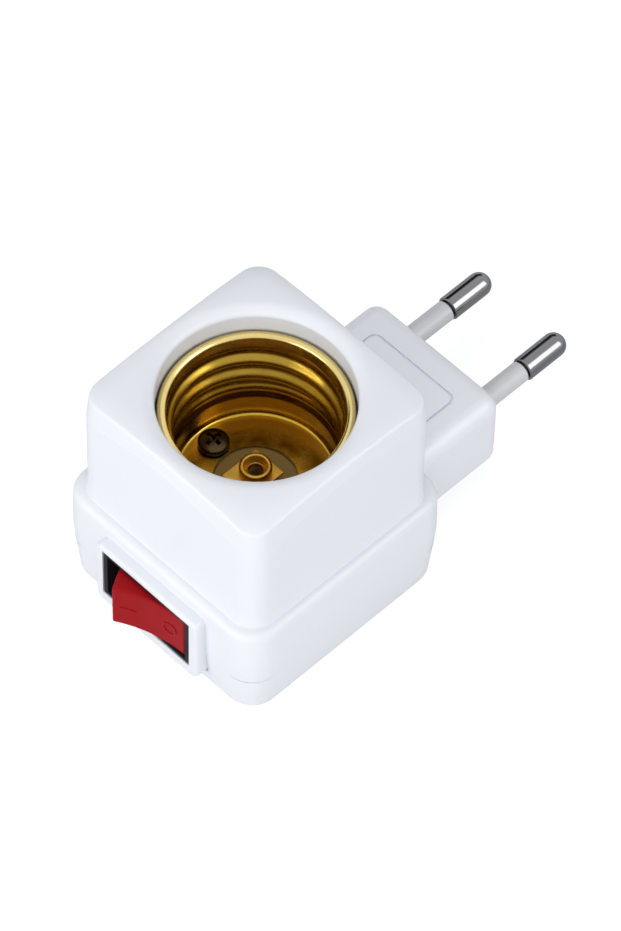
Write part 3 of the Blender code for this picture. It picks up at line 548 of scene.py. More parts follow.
def metal(name, colour, darker, roughness, grain, bump, stretch=(1.0, 1.0, 1.0)):
    """Bare or plated metal: mottled tone, uneven polish and fine drawn marks."""
    material, tree, shader = principled(name, colour, 1.0, roughness)
    tone_scale, polish_scale, detail, uneven, relief = 180.0, 420.0, 4.0, 0.3, 0.5
    tone = noise(tree, tone_scale, detail, stretch)
    tree.links.new(blend_colours(tree, tone.outputs["Fac"], darker, colour), shader.inputs["Base Color"])
    polish = noise(tree, polish_scale, detail, stretch)
    vary_roughness(tree, shader, polish.outputs["Fac"], roughness, uneven)
    marks = noise(tree, grain, 3.0, stretch)
    add_bump(tree, shader, marks.outputs["Fac"], relief, bump)
    return material


WHITE = plastic("white_moulded", (0.86, 0.875, 0.915), (0.855, 0.871, 0.912), 0.35,
                bump=0.0, specular=0.4, clouds=22.0, spread=0.04)
PLATE = plastic("brown_resin", (0.36, 0.23, 0.067), (0.30, 0.19, 0.055), 0.45, 1500.0, 0.02, 0.2)
SLEEVE = plastic("grey_sleeve", (0.66, 0.66, 0.67), (0.62, 0.62, 0.64), 0.38, 1200.0, 0.003)
BLACK = plastic("black_moulded", (0.022, 0.020, 0.024), (0.018, 0.017, 0.020), 0.42, 1500.0, 0.006, 0.06)
RED = plastic("red_moulded", (0.35, 0.008, 0.012), (0.33, 0.007, 0.010), 0.36, 1200.0, 0.004, 0.05)
NYLON = plastic("natural_nylon", (0.60, 0.58, 0.52), (0.56, 0.54, 0.48), 0.45)
BLUE = plastic("blue_insulation", (0.02, 0.12, 0.42), (0.018, 0.10, 0.38), 0.42)
BROWN = plastic("brown_insulation", (0.14, 0.06, 0.03), (0.12, 0.05, 0.025), 0.42)
DARK = plastic("black_insulation", (0.02, 0.02, 0.02), (0.016, 0.016, 0.016), 0.42)
BRASS = metal("rolled_brass", (1.0, 1.0, 1.0), (0.93, 0.92, 0.90), 0.22, 2500.0, 0.004, (1.0, 1.0, 2.5))
CONTACT = metal("contact_brass", (0.56, 0.33, 0.055), (0.50, 0.28, 0.045), 0.30, 3000.0, 0.006)
STRIP = metal("terminal_brass", (0.70, 0.46, 0.13), (0.62, 0.39, 0.10), 0.28, 3000.0, 0.006)
NICKEL = metal("nickel_plate", (0.26, 0.26, 0.265), (0.22, 0.22, 0.225), 0.14, 3000.0, 0.003,
               (1.0, 0.15, 1.0))
STEEL = metal("dull_steel", (0.20, 0.18, 0.15), (0.12, 0.10, 0.08), 0.38, 2500.0, 0.01)
BROWNED = metal("browned_screw", (0.085, 0.060, 0.028), (0.055, 0.038, 0.018), 0.34, 2500.0, 0.01)
# Brass colour with painted shade and light at rising heights: floor, painted shade on the lower wall,
# thread, and a painted highlight on the bright rim
SHELL_BRASS_WITH_PAINTED_SHADE = ((21.0, (0.58, 0.37, 0.05)), (22.2, (0.58, 0.37, 0.05)), (23.2, (0.24, 0.12, 0.012)),
               (26.6, (0.26, 0.13, 0.012)), (28.5, (0.36, 0.22, 0.026)), (36.6, (0.42, 0.27, 0.04)),
               (38.2, (0.78, 0.60, 0.22)), (39.5, (0.82, 0.66, 0.28)))
paint_colour_and_shade_by_height(BRASS, SHELL_BRASS_WITH_PAINTED_SHADE, low=20.0, high=40.0)


def crown_fall(radius):
    """How far the top lies below its crest, outside the ring of the crest."""
    return CROWN_CURVE * max(radius - CREST_R, 0.0) ** 2


def crown_profile(x, y, nx, ny):
    """Inset and drop of each step from the tower's face to the top, at one point of its outline.

    The face ends in an arch that is lowest at the corners. Above it a narrow sloping band leads to the
    top, which then rises to the ring of the crest.
    """
    away = min(abs(x), abs(y)) / TOWER_HALF
    arch = ARCH_DROP + ARCH_GAIN * away ** 2 / (away + ARCH_FLATNESS)
    inset = ARCH_INSET - ARCH_INSET_LOSS * away ** 2
    step_height = CROWN_STEP * (1.0 + CROWN_STEP_GAIN * away ** 2)
    facing = x * nx + y * ny
    room = facing ** 2 - x ** 2 - y ** 2 + (CREST_R + CREST_MARGIN) ** 2
    edge = min(CROWN_EDGE, facing - math.sqrt(room)) if room > 0.0 else CROWN_EDGE
    arris = step_height + crown_fall(math.hypot(x - nx * inset, y - ny * inset))
    length = math.hypot(inset, arch - arris)
    along, down = inset / length, (arch - arris) / length

    def top(reach):
        share = (reach - inset) / (edge - inset)
        return step_height * (1.0 - share) ** 2 + crown_fall(math.hypot(x - nx * reach, y - ny * reach))

    fold, soft, steps = FOLD_SOFTNESS, ARRIS_SOFTNESS, 6
    profile = bend((0.0, arch + fold), (0.0, arch), (fold * along, arch - fold * down), 4)
    before = (inset - soft * along, arris + soft * down)
    profile += bend(before, (inset, arris), (inset + soft, top(inset + soft)), steps)
    for step in range(1, steps + 1):
        reach = inset + soft + (edge - inset - soft) * step / steps
        profile.append((reach, top(reach)))
    return profile


def crown_rings():
    """Rings of the tower's upper end, from the arched edge over the fall of the top to its round crest."""
    steps = 4
    columns = []
    for x, y, nx, ny in fine_outline(TOWER_HALF, TOWER_CORNER):
        column = [(x - nx * inset, y - ny * inset, TOP_Z - drop)
                  for inset, drop in crown_profile(x, y, nx, ny)]
        px, py = column[-1][:2]
        radius = math.hypot(px, py)
        for step in range(1, steps + 1):
            share = 1.0 + (CREST_R / radius - 1.0) * step / steps
            column.append((px * share, py * share, TOP_Z - crown_fall(radius * share)))
        columns.append(column)
    return [list(ring) for ring in zip(*columns)]


def tower_rings():
    """Rings of the upper cover's outside: seam, skirt, rounded shoulder, flared foot and tower."""
    rings = [fine_ring(SEAM_HALF - inset, SKIRT_CORNER - inset, SEAM_Z + drop)
             for inset, drop in reversed(edge_steps(SEAM_EDGE, SEAM_STEPS))]
    rings += [fine_ring(half, SKIRT_CORNER, z) for half, z in SKIRT_SIDE]
    rings += [fine_ring(SHOULDER_HALF - inset, SKIRT_CORNER - inset, SHOULDER_Z - drop)
              for inset, drop in edge_steps(SHOULDER_EDGE)]
    for angle in quarter_turn(FOOT_STEPS):
        out = FOOT_FLARE * (1.0 - math.sin(angle))
        up = FOOT_RISE * (1.0 - math.cos(angle))
        rings.append(fine_ring(TOWER_HALF + out, TOWER_CORNER + out, FOOT_Z + up))
    return rings + crown_rings()


def mouth_cutter():
    """The round mouth, with a soft lip where it meets the top."""
    profile = [(MOUTH_R, MOUTH_LOW_Z)]
    for step in range(LIP_STEPS + 1):
        angle = LIP_TURN * step / LIP_STEPS
        out = LIP_WIDTH * (1.0 - math.cos(angle))
        profile.append((MOUTH_R + out, TOP_Z - LIP_DROP * (1.0 - math.sin(angle))))
    clear_r, clear_z = 0.2, 0.3
    profile.append((MOUTH_R + LIP_WIDTH + clear_r, TOP_Z + clear_z))
    return turned("mouth", profile, segments=160)


def build_upper_cover():
    """Tower, shoulder and skirt as one lofted block, then plug body, switch frame, bore and hollows."""
    cover = loft("upper_cover_moulding", tower_rings())
    rings = [plug_ring(inset, SEAM_Z + drop) for inset, drop in reversed(edge_steps(SEAM_EDGE, SEAM_STEPS))]
    rings += [plug_ring(inset, PLUG_TOP_Z - drop) for inset, drop in edge_steps(PLUG_EDGE)]
    add(cover, loft("plug_upper", rings))
    rings = [frame_ring(0.0, FRAME_BACK_Y)]
    rings += [frame_ring(inset, FRAME_FRONT_Y + drop) for inset, drop in edge_steps(FRAME_EDGE, FRAME_STEPS)]
    add(cover, loft("frame", rings))

    levels = (SEAM_Z - PAST, DECK_Z)
    cut(cover, loft("hollow", [upright_ring(HOLLOW_HALF, HOLLOW_CORNER, z) for z in levels]))
    cut(cover, box("plug_hollow", *PLUG_HOLLOW), mouth_cutter(), box("opening", *OPENING))
    cut(cover, box("frame_hollow", *FRAME_HOLLOW), panel_groove())
    for side in (-1.0, 1.0):
        cut(cover, rod("pin_bore", PIN_BORE, (side * PIN_X, 0.0, PIN_Z), "Y"))
        cut(cover, rod("pilot", PILOT, (side * PLATE_SCREW_X, 0.0, 0.0), segments=24))
    for x, y in CASE_SCREWS:
        add(cover, rod("post", POST, (x, y, 0.0)))
        cut(cover, rod("post_bore", POST_BORE, (x, y, 0.0), segments=24))
    return cover


def plug_ring(inset, z):
    """The plug body's outline at one height; its back end lies inside the tower."""
    x = PLUG_HALF_X - inset
    corner = max(PLUG_EDGE - inset, 0.05)
    return [(px, py, z) for px, py in rounded_outline(-x, x, PLUG_ROOT_Y, PLUG_END_Y - inset, corner)]


def frame_ring(inset, y):
    """The switch frame's outline at one place along y."""
    x, z = FRAME_HALF_X - inset, FRAME_HALF_Z - inset
    outline = rounded_outline(-x, x, FRAME_Z - z, FRAME_Z + z, FRAME_CORNER - inset, FRAME_STEPS)
    return [(px, y, pz) for px, pz in outline]


def panel_groove():
    """The narrow groove around the panel on the plug's upper side."""
    x, y0, y1 = PANEL_HALF_X, PANEL_START_Y, PANEL_END_Y
    z0, z1 = PLUG_TOP_Z - PANEL_DEPTH, PLUG_TOP_Z + PAST
    w, corner = GROOVE_WIDTH, PANEL_CORNER
    outside = rounded_outline(-x, x, y0, y1, corner)
    groove = loft("groove", [[(px, py, z) for px, py in outside] for z in (z0, z1)])
    outline = rounded_outline(w - x, x - w, y0 + w, y1 - w, corner - w)
    inside = [[(px, py, z) for px, py in outline] for z in (z0 - PAST, z1 + PAST)]
    cut(groove, loft("groove_inside", inside))
    return groove


def build_lower_cover():
    """Bottom shell and the plug's lower half, with its tongue, rib, switch stop, notch and screw bosses."""
    seam_z = SEAM_Z - SEAM_GAP
    rings = []
    for inset, drop in reversed(edge_steps(BOTTOM_EDGE)):
        rings.append(upright_ring(LOWER_HALF - DRAFT - inset, LOWER_CORNER - inset, drop))
    for inset, drop in edge_steps(SEAM_EDGE, SEAM_STEPS):
        rings.append(upright_ring(LOWER_HALF - inset, LOWER_CORNER - inset, seam_z - drop))
    cover = loft("lower_cover_moulding", rings)

    rings = []
    for inset, drop in reversed(edge_steps(PLUG_BOTTOM_EDGE)):
        rings.append(plug_ring(PLUG_LOWER_INSET + inset, PLUG_BOTTOM_Z + drop))
    for inset, drop in edge_steps(SEAM_EDGE, SEAM_STEPS):
        rings.append(plug_ring(PLUG_LOWER_INSET + inset, seam_z - drop))
    add(cover, loft("plug_lower", rings))
    cut(cover, box("plug_channel", *PLUG_CHANNEL))
    half, corner = LOWER_HOLLOW_HALF, LOWER_HOLLOW_CORNER
    cut(cover, loft("hollow", [upright_ring(half, corner, z) for z in (FLOOR_Z, LOWER_CUT_Z)]))

    levels = (FLOOR_Z - 0.6, TONGUE_TOP_Z)
    tongue = loft("tongue", [upright_ring(TONGUE_HALF, TONGUE_CORNER, z) for z in levels])
    half, corner = TONGUE_INNER_HALF, TONGUE_INNER_CORNER
    cut(tongue, loft("tongue_inside", [upright_ring(half, corner, z) for z in (0.0, 10.0)]))
    add(cover, tongue)
    rib = box("rib", *RIB)
    for x in (-PIN_X, PIN_X):
        cut(rib, box("rib_slot", *RIB_SLOT, x))
    add(cover, rib, box("switch_stop", *SWITCH_STOP))
    cut(cover, box("frame_notch", *FRAME_NOTCH))
    for x, y in CASE_SCREWS:
        add(cover, rod("boss", BOSS, (x, y, 0.0)))
        cut(cover, rod("counterbore", COUNTERBORE, (x, y, 0.0)))
        cut(cover, rod("screw_hole", CASE_SCREW_HOLE, (x, y, 0.0)))
    return cover


def thread_radius(base, z, angle):
    """Radius of the rolled thread, fading out at both ends of the threaded length."""
    below, above = z - THREAD_LOW_Z, THREAD_HIGH_Z - z
    strength = min(max(below / THREAD_FADE, 0.0), max(above / THREAD_FADE, 0.0), 1.0)
    phase = (z - THREAD_CREST_Z) / THREAD_PITCH - angle / (2.0 * math.pi)
    return base - THREAD_DEPTH * strength * math.cos(2.0 * math.pi * phase)


def shell_profile():
    """Closed section of the shell's sheet: radius, height and whether the thread runs there."""
    floor, wall_r, corner = SHELL_FLOOR_Z, SHELL_WALL_R, SHELL_CORNER
    floor_r, wall_low, skin_low = 9.0, 25.2, 25.0
    bend_centre = (wall_r - corner, floor + corner)
    inner = [(SHELL_HOLE_R, floor), (floor_r, floor)]
    inner += arc(bend_centre, corner, -90.0, 0.0, 8) + [(wall_r, wall_low)]
    outer = [(wall_r + SHEET, skin_low)] + arc(bend_centre, corner + SHEET, 0.0, -90.0, 8)
    outer += [(floor_r, floor - SHEET), (SHELL_HOLE_R, floor - SHEET)]
    bead, bead_centre = 0.72, (13.93, 38.63)
    neck_r, neck_outer_r, neck_z, neck_top_z = 13.2, 13.65, 37.5, 38.2
    rim = [(neck_r, neck_z)] + arc(bead_centre, bead, 178.0, -30.0, 14)
    rim += arc(bead_centre, bead - SHEET, -30.0, 150.0, 8)
    rim += [(neck_outer_r, neck_top_z), (neck_outer_r, neck_z)]
    rows, low, high = 92, 25.6, 37.1
    levels = [low + (high - low) * i / (rows - 1) for i in range(rows)]
    profile = [(r, z, False) for r, z in inner]
    profile += [(wall_base(z), z, True) for z in levels]
    profile += [(r, z, False) for r, z in rim]
    profile += [(wall_base(z) + SHEET, z, True) for z in reversed(levels)]
    profile += [(r, z, False) for r, z in outer]
    return profile


def build_screw_shell():
    """One pressed sheet: floor with a round hole, threaded wall and a bead rolled outwards at the rim."""
    profile = shell_profile()
    points = []
    faces = []
    count = 168
    for radius, z, threaded in profile:
        for i in range(count):
            angle = 2.0 * math.pi * (i + 0.5) / count
            r = thread_radius(radius, z, angle) if threaded else radius
            points.append((r * math.cos(angle), r * math.sin(angle), z))
    for level in range(len(profile)):
        here = level * count
        following = (level + 1) % len(profile) * count
        for i in range(count):
            j = (i + 1) % count
            faces.append((here + i, here + j, following + j, following + i))
    shell = make_object("screw_shell_pressing", points, faces)
    for x in (-SHELL_SCREW_X, SHELL_SCREW_X):
        cut(shell, rod("screw_hole", SHELL_SCREW_HOLE, (x, 0.0, 0.0)))
    return shell


def wall_base(z):
    """Mean radius of the threaded wall, narrower below the thread and wider above it."""
    widening, narrowing, widening_z, rise = 0.42, 0.38, 35.6, 1.5
    upper = min(max((z - widening_z) / rise, 0.0), 1.0)
    lower = min(max(THREAD_LOW_Z - z, 0.0), 1.0)
    return THREAD_MEAN_R + widening * upper - narrowing * lower


def build_contact_plate():
    """Round insulating plate with a flange, two ears, screw holes and a slot for the leaf."""
    edge, side_r, flange_r, flange_z = 0.3, PLATE_R, PLATE_FLANGE_R, PLATE_FLANGE_TOP_Z
    profile = [(0.0, PLATE_FLANGE_Z), (flange_r, PLATE_FLANGE_Z), (flange_r, flange_z), (side_r, flange_z)]
    profile += arc((side_r - edge, PLATE_TOP_Z - edge), edge, 0.0, 90.0, 5) + [(0.0, PLATE_TOP_Z)]
    plate = turned("contact_plate_moulding", profile)
    add(plate, box("ears", *PLATE_EARS))
    cut(plate, box("leaf_slot", *LEAF_SLOT))
    for side in (-1.0, 1.0):
        for x, hole in ((SHELL_SCREW_X, SHELL_SCREW_HOLE), (PLATE_SCREW_X, PLATE_SCREW_HOLE)):
            cut(plate, rod("hole", hole, (side * x, 0.0, 0.0), segments=32))
    cut(plate, rod("hole", CENTRE_PILOT, (0.0, CENTRE_SCREW_Y, 0.0), segments=24))
    return plate


def build_centre_contact():
    """One bent strip: flat tongue with a raised eyelet, down through the plate and flat below it."""
    thickness, half_width, bend_r, bend_y = 0.4, 3.0, 1.0, -3.5
    path = [(3.0, LEAF_TOP_Z), (0.0, LEAF_TOP_Z), (-3.3, LEAF_TOP_Z)]
    path += arc((bend_y, LEAF_TOP_Z - bend_r), bend_r, 95.0, 178.0, 7)
    path += [(bend_y - bend_r, 22.0), (bend_y - bend_r, 16.5)]
    path += arc((bend_y, LEAF_BOTTOM_Z + bend_r), bend_r, 185.0, 268.0, 7)
    path.append((6.0, LEAF_BOTTOM_Z))
    upper = []
    lower = []
    for i, (y, z) in enumerate(path):
        ahead = path[min(i + 1, len(path) - 1)]
        behind = path[max(i - 1, 0)]
        dy, dz = ahead[0] - behind[0], ahead[1] - behind[1]
        length = math.hypot(dy, dz)
        ny, nz = -dz / length * thickness / 2, dy / length * thickness / 2
        upper.append((y + ny, z + nz))
        lower.append((y - ny, z - nz))
    section = upper + lower[::-1]
    leaf = loft("centre_contact_leaf", [[(x, y, z) for y, z in section] for x in (-half_width, half_width)])
    round_edges(leaf, 0.08, 2)
    foot_z, lip_r, throat_r = 23.35, 0.45, 0.25
    dome = [(2.5, foot_z)] + arc((2.05, 24.85), lip_r, 0.0, 125.0, 10) + [(1.35, 24.15)]
    dome += arc((1.4, 23.9), throat_r, 120.0, 180.0, 4) + [(EYELET_R, foot_z)]
    add(leaf, turned("eyelet", dome, segments=64, closed=True))
    cut(leaf, rod("eyelet_hole", EYELET_HOLE, (0.0, 0.0, 0.0), segments=64))
    cut(leaf, rod("screw_hole", CENTRE_SCREW_HOLE, (0.0, CENTRE_SCREW_Y, 0.0), segments=32))
    return leaf


def cross_screw(name, x, y, seat_z, head_r, head_h, shank_r, shank_end_z):
    """A pan-head screw with a tapered cross recess and a cut thread on its shank."""
    up = 1.0 if shank_end_z < seat_z else -1.0
    side_h = head_h * 0.42
    root_r = shank_r * 0.82
    pitch, root_offset, head_steps = 0.5, 0.18, 8
    profile = [(0.0, shank_end_z), (shank_r * 0.6, shank_end_z)]
    turns = int(abs(seat_z - shank_end_z) / pitch)
    for turn in range(turns):
        z = shank_end_z + (seat_z - shank_end_z) * (turn + 0.5) / turns
        profile += [(root_r, z - up * root_offset), (shank_r, z)]
    profile += [(root_r, seat_z), (head_r, seat_z), (head_r, seat_z + up * side_h)]
    for angle in quarter_turn(head_steps)[1:-1]:
        rise = side_h + (head_h - side_h) * math.sin(angle)
        profile.append((head_r * math.cos(angle), seat_z + up * rise))
    profile.append((0.0, seat_z + up * head_h))
    screw = turned(name, profile, (x, y, 0.0), segments=48)
    rings = []
    for depth, spread in ((-0.2, 1.12), (0.0, 1.0), (head_h * 0.5, 0.72), (head_h * 0.72, 0.3)):
        arm = head_r * 0.62 * spread
        slot = head_r * 0.14 * (0.55 + 0.45 * spread)
        z = seat_z + up * (head_h - depth)
        ring = []
        for c, s in ((1, 0), (0, 1), (-1, 0), (0, -1)):
            for px, py in ((arm, -slot), (arm, slot), (slot, slot)):
                ring.append((x + px * c - py * s, y + px * s + py * c, z))
        rings.append(ring)
    cut(screw, loft("recess", rings))
    return screw


def build_pin(number, side):
    """A turned pin with a collar inside the plug, a neck under the sleeve and a rounded tip."""
    centre = (side * PIN_X, 0.0, PIN_Z)
    tail_r, collar_r, collar_start, collar_end, edge = 1.2, 2.7, 26.8, 27.7, 0.25
    profile = [(0.0, PIN_START_Y), (tail_r, PIN_START_Y), (tail_r, collar_start), (collar_r, collar_start),
               (collar_r, collar_end), (PIN_CORE_R, collar_end), (PIN_CORE_R, TIP_START_Y)]
    profile += arc((PIN_R - edge, TIP_START_Y + edge), edge, -90.0, 0.0, 5)
    bluntness = 0.9
    for angle in quarter_turn(16)[:-1]:
        y = PIN_END_Y - PIN_TIP + PIN_TIP * math.sin(angle)
        profile.append((PIN_R * math.cos(angle) ** bluntness, y))
    profile.append((0.0, PIN_END_Y))
    return turned(f"pin_{number}_turned", profile, centre, "Y", 72)


def build_sleeve(number, side):
    """The insulating sleeve on a pin's neck, open at both ends."""
    centre = (side * PIN_X, 0.0, PIN_Z)
    end, edge = TIP_START_Y - 0.3, 0.2
    profile = [(SLEEVE_BORE_R, SLEEVE_START_Y), (SLEEVE_R, SLEEVE_START_Y), (SLEEVE_R, end - 0.3)]
    profile += arc((SLEEVE_R - edge, end - edge), edge, 0.0, 90.0, 5)
    profile += [(SLEEVE_BORE_R, end)]
    return turned(f"pin_sleeve_{number}_moulding", profile, centre, "Y", 72, True)


def build_switch_housing():
    """An open black box behind a thin front rim, with pivot holes and slots for the terminals."""
    housing = box("switch_housing_moulding", *HOUSING)
    add(housing, box("front_rim", *HOUSING_RIM), box("flange", *HOUSING_FLANGE))
    round_edges(housing, 0.12, 2)
    cut(housing, box("housing_hollow", *HOUSING_HOLLOW))
    cut(housing, rod("pivot_hole", PIVOT_HOLE, (0.0, PIVOT_Y, SWITCH_Z), segments=32))
    for x in (0.0, LOAD_TERMINAL_X):
        cut(housing, box("terminal_slot", *TERMINAL_SLOT, x))
    return housing


def rocker_face(x):
    """Where the rocker's gently hollow front face lies, measured from its pivot."""
    share = 2.0 * (x - FACE_LEFT) / (FACE_RIGHT - FACE_LEFT) - 1.0
    return FACE_Y + FACE_HOLLOW * (1.0 - share ** 2)


def rocker_outline():
    """Plan of the rocker about its pivot: hollow front face, flared ends, post for the plunger."""
    steps = 24
    xs = [FACE_LEFT + (FACE_RIGHT - FACE_LEFT) * step / steps for step in range(steps + 1)]
    outline = [(x, rocker_face(x)) for x in xs]
    outline += [(6.85, -5.1), (7.35, -3.2), (7.15, -2.2), (2.75, -1.5), (2.65, 1.2), (2.0, 3.5)]
    outline += [(-2.0, 3.5), (-2.65, 1.2), (-2.75, -1.5), (-7.15, -2.2), (-7.35, -3.2), (-7.0, -5.1)]
    return outline


def on_pivot():
    """Where the rocker's pieces stand: on its pivot, turned to the rest end."""
    return {"location": (0.0, PIVOT_Y, SWITCH_Z), "turn_z": ROCKER_REST}


def build_rocker():
    """The rocker with two stubs to turn on and a bore for the plunger."""
    place = on_pivot()
    rings = [[(x, y, z) for x, y in rocker_outline()] for z in (-ROCKER_HALF_Z, ROCKER_HALF_Z)]
    rocker = loft("rocker_moulding", rings, **place)
    round_edges(rocker, 0.35, 4)
    add(rocker, rod("stubs", PIVOT_STUBS, (0.0, 0.0, 0.0), segments=32, **place))
    cut(rocker, rod("plunger_bore", PLUNGER_BORE, (0.0, 0.0, 0.0), "Y", 32, **place))
    return rocker


def build_rocker_marks():
    """Raised bar and ring on the rocker's face, in the rocker's own colour."""
    place = on_pivot()
    height, sink, width = 0.13, 0.1, 0.32
    section = ((-width / 2, sink), (-width / 2, -height * 0.6), (-width / 4, -height), (width / 4, -height),
               (width / 2, -height * 0.6), (width / 2, sink))
    bar_start, bar_end, steps = -5.1, -2.6, 10
    rings = []
    for step in range(steps + 1):
        x = bar_start + (bar_end - bar_start) * step / steps
        rings.append([(x, rocker_face(x) + rise, across) for across, rise in section])
    marks = [loft("rocker_mark_on", rings, **place)]
    radius, x0, count = 1.15, 3.1, 48
    points = []
    faces = []
    for i in range(count):
        angle = 2.0 * math.pi * i / count
        for across, rise in section:
            x = x0 + (radius + across) * math.cos(angle)
            points.append((x, rocker_face(x) + rise, (radius + across) * math.sin(angle)))
    sides = len(section)
    for i in range(count):
        j = (i + 1) % count
        for k in range(sides):
            m = (k + 1) % sides
            faces.append((i * sides + k, j * sides + k, j * sides + m, i * sides + m))
    marks.append(make_object("rocker_mark_off", points, faces, **place))
    return marks


def dress_nodes():
    """The pieces hidden inside keep their CAD solids and get a finish of their own."""
    finishes = {
        "shell_strap": STRIP, "contact_lever": CONTACT, "common_terminal": STRIP, "load_terminal": STRIP,
        "switch_plunger": NYLON, "plunger_spring": STEEL, "neutral_wire": BLUE, "live_wire": BROWN,
        "switched_wire": DARK,
    }
    for name, material in finishes.items():
        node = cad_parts[name]
        node.data.materials.clear()
        node.data.materials.append(material)
        node.data.shade_smooth()
        node.data.set_sharp_from_angle(angle=math.radians(40.0))


def build_pieces():
    """Every visible piece, with its body, material and the CAD nodes it stands in for."""
    finish_piece(build_upper_cover(), "case", "white_plastic", WHITE, "upper_cover")
    finish_piece(build_lower_cover(), "case", "white_plastic", WHITE, "lower_cover")
    finish_piece(build_screw_shell(), "case", "brass", BRASS, "screw_shell", sharp=50.0)
    finish_piece(build_contact_plate(), "case", "plate_resin", PLATE, "contact_plate")
    finish_piece(build_centre_contact(), "case", "brass", CONTACT, "centre_contact", sharp=50.0)
    for number, side in enumerate((-1.0, 1.0)):
        screw = cross_screw(f"shell_screw_{number}_turned", side * SHELL_SCREW_X, 0.0, *SHELL_SCREW)
        finish_piece(screw, "case", "steel", BROWNED, f"shell_screw_{number}")
        screw = cross_screw(f"plate_screw_{number}_turned", side * PLATE_SCREW_X, 0.0, *PLATE_SCREW)
        finish_piece(screw, "case", "steel", STEEL, f"plate_screw_{number}")
        finish_piece(build_pin(number, side), "case", "nickel", NICKEL, f"pin_{number}", sharp=45.0)
        finish_piece(build_sleeve(number, side), "case", "sleeve_plastic", SLEEVE, f"pin_sleeve_{number}")
    screw = cross_screw("centre_screw_turned", 0.0, CENTRE_SCREW_Y, *CENTRE_SCREW)
    finish_piece(screw, "case", "steel", STEEL, "centre_screw")
    for number, (x, y) in enumerate(CASE_SCREWS):
        screw = cross_screw(f"case_screw_{number}_turned", x, y, *CASE_SCREW)
        finish_piece(screw, "case", "steel", STEEL, f"case_screw_{number}")
    finish_piece(build_switch_housing(), "case", "black_plastic", BLACK, "switch_housing")
    finish_piece(build_rocker(), "rocker", "red_plastic", RED, "rocker")
    for mark in build_rocker_marks():
        finish_piece(mark, "rocker", "red_plastic", RED)
    dress_nodes()


def direction(azimuth, elevation):
    """Unit vector from the object towards a camera or a lamp, from its angles in degrees."""
    a, e = math.radians(azimuth), math.radians(elevation)
    return Vector((math.sin(a) * math.cos(e), -math.cos(a) * math.cos(e), math.sin(e)))


def build_camera():
    """Camera whose frame shows the aim point at the picture's own pixel."""
    towards = direction(CAMERA_AZIMUTH, CAMERA_ELEVATION)
    forward = -towards
    right = forward.cross(Vector((0.0, 0.0, 1.0))).normalized()
    up = right.cross(forward)
    dx = AIM_PIXEL_X - IMAGE_WIDTH / 2
    dy = AIM_PIXEL_Y - IMAGE_HEIGHT / 2
    pan = math.atan2(dx, FOCAL_PIXELS)
    tilt = math.atan2(dy, math.hypot(FOCAL_PIXELS, dx))
    turn = Matrix.Rotation(pan, 3, up)
    forward, right = turn @ forward, turn @ right
    turn = Matrix.Rotation(tilt, 3, right)
    forward, up = turn @ forward, turn @ up
    turn = Matrix.Rotation(math.radians(CAMERA_ROLL), 3, forward)
    right, up = turn @ right, turn @ up
    data = bpy.data.cameras.new("camera")
    data.sensor_width = SENSOR_LONG_SIDE
    data.lens = FOCAL_PIXELS * SENSOR_LONG_SIDE / IMAGE_HEIGHT
    data.clip_start = 0.05
    data.clip_end = 20.0
    camera = bpy.data.objects.new("camera", data)
    bpy.context.scene.collection.objects.link(camera)
    rotation = Matrix((right, up, -forward)).transposed().to_4x4()
    place = Vector((0.0, 0.0, AIM_HEIGHT)) + towards * CAMERA_DISTANCE
    camera.matrix_world = Matrix.Translation(place) @ rotation
    bpy.context.scene.camera = camera


def background(tree, colour, strength):
    node = tree.nodes.new("ShaderNodeBackground")
    node.inputs["Color"].default_value = (*colour, 1.0)
    node.inputs["Strength"].default_value = strength
    return node.outputs["Background"]


def diffuse(tree, colour):
    node = tree.nodes.new("ShaderNodeBsdfDiffuse")
    node.inputs["Color"].default_value = (*colour, 1.0)
    return node.outputs["BSDF"]


def combine(tree, operation, first, second):
    """Result of a math node; the second value is a socket or a number."""
    node = tree.nodes.new("ShaderNodeMath")
    node.operation = operation
    tree.links.new(first, node.inputs[0])
    if isinstance(second, float):
        node.inputs[1].default_value = second
    else:
        tree.links.new(second, node.inputs[1])
    return node.outputs["Value"]


def show_mix(tree, output, factor, first, second):
    """Sends a mix of two shaders to the output's surface."""
    mix = tree.nodes.new("ShaderNodeMixShader")
    tree.links.new(factor, mix.inputs["Fac"])
    tree.links.new(first, mix.inputs[1])
    tree.links.new(second, mix.inputs[2])
    tree.links.new(mix.outputs["Shader"], output.inputs["Surface"])


def build_world():
    """White where the camera, gloss or glass sees it, and a softer even light on the surfaces.

    Gloss counts only before the light has bounced off a matt surface.
    """
    world = bpy.data.worlds.new("studio")
    bpy.context.scene.world = world
    world.use_nodes = True
    tree = world.node_tree
    tree.nodes.clear()
    output = tree.nodes.new("ShaderNodeOutputWorld")
    soft = background(tree, (0.95, 0.975, 1.0), 0.49)
    white = background(tree, (1.0, 1.0, 1.0), 1.0)
    ray = tree.nodes.new("ShaderNodeLightPath").outputs
    direct = combine(tree, "LESS_THAN", ray["Diffuse Depth"], 0.5)
    mirrored = combine(tree, "MULTIPLY", ray["Is Glossy Ray"], direct)
    seen = combine(tree, "MAXIMUM", ray["Is Camera Ray"], mirrored)
    seen = combine(tree, "MAXIMUM", seen, ray["Is Transmission Ray"])
    show_mix(tree, output, seen, soft, white)


def node_material(name):
    """A material with an empty node tree and its output."""
    material = bpy.data.materials.new(name)
    material.use_nodes = True
    tree = material.node_tree
    tree.nodes.clear()
    return material, tree, tree.nodes.new("ShaderNodeOutputMaterial")


